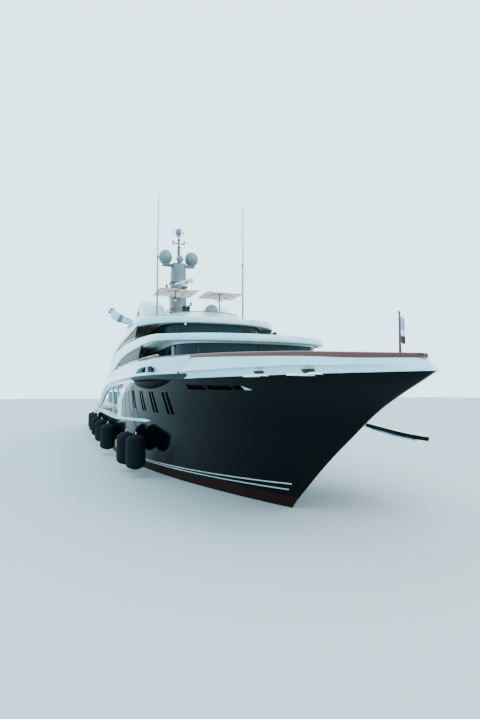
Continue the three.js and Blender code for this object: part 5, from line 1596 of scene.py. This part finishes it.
# Each opening is a black rubber block, painted shade for the hole through the bulwark's foot.
PAINTED_SHADE_OPENING = ((0.05, 6.19), (0.19, 6.33), (-0.2, 6.33), (-0.2, 6.19))  # distance outwards, height
LIP = ((0.06, 6.18), (0.12, 6.2), (-0.1, 6.2), (-0.1, 6.18))
for (start, end), plates in FAIRLEADS:
    fairleads += both(
        along_foot(start, end, PAINTED_SHADE_OPENING, RUBBER), along_foot(start - 0.05, end + 0.05, LIP, STAINLESS),
    )
    for start, end, z in plates:
        plate = ((-0.08, z - 0.05), (0.25, z - 0.04), (0.25, z + 0.03), (-0.08, z + 0.02))
        fairleads += both(along_foot(start, end, plate, CHAFING))
fairleads += both(block((27.95, 5.02, 6.36), (28.2, 5.32, 6.5), RUBBER, 0.04))
assemble("mooring_fairleads", fairleads)

# Anchor windlasses, bollards and a hatch on the foredeck
WINDLASS = [
    (0, 0), (0.34, 0), (0.34, 0.05), (0.2, 0.09), (0.17, 0.3), (0.27, 0.36), (0.29, 0.42), (0.19, 0.5),
    (0.19, 0.66), (0.27, 0.74), (0.25, 0.8), (0, 0.82),
]
BOLLARD = [(0, 0.03), (0.09, 0.03), (0.085, 0.32), (0.12, 0.36), (0.12, 0.4), (0, 0.42)]
gear = []
for side, _ in SIDES:
    gear.append(spun(WINDLASS, (33.4, side * 0.85, UPPER_FEET), STAINLESS, sides=32))
    for x, y in ((35.4, side * 1.5), (30.6, side * 3.6), (24.6, side * 5.1)):
        gear.append(
            block(
                (x - 0.36, y - 0.14, UPPER_FEET), (x + 0.36, y + 0.14, UPPER_FEET + 0.04), STAINLESS, 0.015,
            )
        )
        for end in (-0.2, 0.2):
            gear.append(spun(BOLLARD, (x + end, y, UPPER_FEET), STAINLESS, sides=20))
gear.append(block((30.9, -0.5, UPPER_FEET), (31.9, 0.5, UPPER_FEET + 0.14), WHITE, 0.04, 3))
gear.append(block((31.0, -0.4, UPPER_FEET + 0.13), (31.8, 0.4, UPPER_FEET + 0.16), GLASS, 0.012))
assemble("foredeck_gear", gear)

# White frame on the fore end of the side deck's opening, and the posts in it
frames, rings = [], []
for t in steps(0, 1, 20):
    z = 3.42 + 2.72 * t
    spots = [look_up(PILLAR, z) + a for a in (-0.04, 0.9, 1.9, 2.7 + 0.3 * t)]
    rings.append([on_plating(x, z, 0.03) for x in spots] + [on_plating(x, z, -0.14) for x in reversed(spots)])
frames += both(lofted(rings, WHITE))
for x in (7.3, 3.2):
    frames += both(rod((x, 5.72, 3.48), (x + 0.25, 5.86, band1_low(x) + 0.05), 0.09, WHITE, sides=16))
assemble("side_deck_frames", frames)

# Guard rails at the decks' aft ends

RAIL_HIGH = 1.05
STANCHION_FOOT = [(0, 0), (0.06, 0), (0.06, 0.015), (0.03, 0.03), (0, 0.03)]


def guard_rail(name, corners, z):
    """Stanchions with a capping rail and two wires along straight runs, on either side of a gap amidships."""
    parts = []
    for a, b in zip(corners, corners[1:]):
        a, b = Vector((*a, z)), Vector((*b, z))
        count = max(1, round((b - a).length / 1.1))
        for t in steps(0, 1, count):
            foot = a.lerp(b, t)
            parts.append(rod(foot, foot + Vector((0, 0, RAIL_HIGH)), 0.025, STAINLESS, sides=10))
            parts.append(spun(STANCHION_FOOT, foot, STAINLESS, sides=14))
    for share, radius, material in ((1, 0.04, MAHOGANY), (0.66, 0.012, STAINLESS), (0.33, 0.012, STAINLESS)):
        parts.append(pipe([(x, y, z + RAIL_HIGH * share) for x, y in corners], radius, material))
    assemble(name, both(*parts))


guard_rail("upper_deck_rail", [(-21.0, 0.7), (-21.2, 3.0), (-20.4, 4.0), (-17.5, 4.5)], UPPER_FEET)
guard_rail(
    "bridge_deck_rail", [(-13.5, 0.7), (-13.7, 3.0), (-12.9, 3.8), (-7.0, 4.3), (-3.2, 4.8)], BRIDGE_FEET,
)
guard_rail("sun_deck_rail", [(-3.5, 0.7), (-3.7, 2.6), (-2.9, 3.5), (1.0, 4.1)], SUN_FEET)
guard_rail("main_deck_rail", [(-33.6, 1.9), (-33.6, 4.3), (-32.6, 5.0), (-23.0, 5.5)], MAIN_DECK + 2 * SEAT)

# Materials of the CAD nodes that stay

PAINTED = {
    "stern_platform": TEAK, "main_deck": TEAK, "main_house_wall": WHITE, "main_house_glass": GLASS,
    "propeller_stbd": BRONZE, "propeller_port": BRONZE,
    "rudder_stbd": ANTIFOULING, "rudder_port": ANTIFOULING, "transom_door": NAVY,
}
for node, material in PAINTED.items():
    dressed = bpy.data.objects[node]
    dressed.data.materials.clear()
    dressed.data.materials.append(material)

# Camera, floor and light

TILT = math.radians(3.94)
HEADING = (-0.937, 0.349)
bpy.ops.object.camera_add(location=(25.29, -5.25, 2.75))
camera = bpy.context.object
facing = Vector((HEADING[0] * math.cos(TILT), HEADING[1] * math.cos(TILT), math.sin(TILT)))
camera.rotation_euler = facing.to_track_quat("-Z", "Y").to_euler()
camera.data.sensor_fit = "VERTICAL"
camera.data.sensor_height = 36
camera.data.lens = 24
camera.data.clip_start = 0.01
camera.data.clip_end = 500
bpy.context.scene.camera = camera

PALE_FLOOR = finish_of("Matt pale studio floor", "#a9b3b6", 0.9)
bpy.ops.mesh.primitive_plane_add(size=400, location=(0, 0, 0))
floor = bpy.context.object
floor.name = "studio_floor"
floor.data.materials.append(PALE_FLOOR)

world = bpy.data.worlds.new("Soft studio")
world.use_nodes = True
sky = world.node_tree.nodes["Background"]
sky.inputs["Color"].default_value = linear("#c8eaf5")
sky.inputs["Strength"].default_value = 3.8
bpy.context.scene.world = world


def lamp(name, place, target, size, power, colour):
    place, target = Vector(place) * HALF, Vector(target) * HALF
    bpy.ops.object.light_add(type="AREA", location=place)
    light = bpy.context.object
    light.name = name
    light.rotation_euler = (target - place).to_track_quat("-Z", "Y").to_euler()
    light.data.shape, light.data.size, light.data.energy = "SQUARE", size, power
    light.data.color = linear(colour)[:3]


lamp("Key", (75, 45, 60), (5, 0, 6), 30, 15000, "#ffe3d6")
lamp("Fill", (30, -80, 40), (10, 0, 6), 40, 2000, "#b4e8ff")
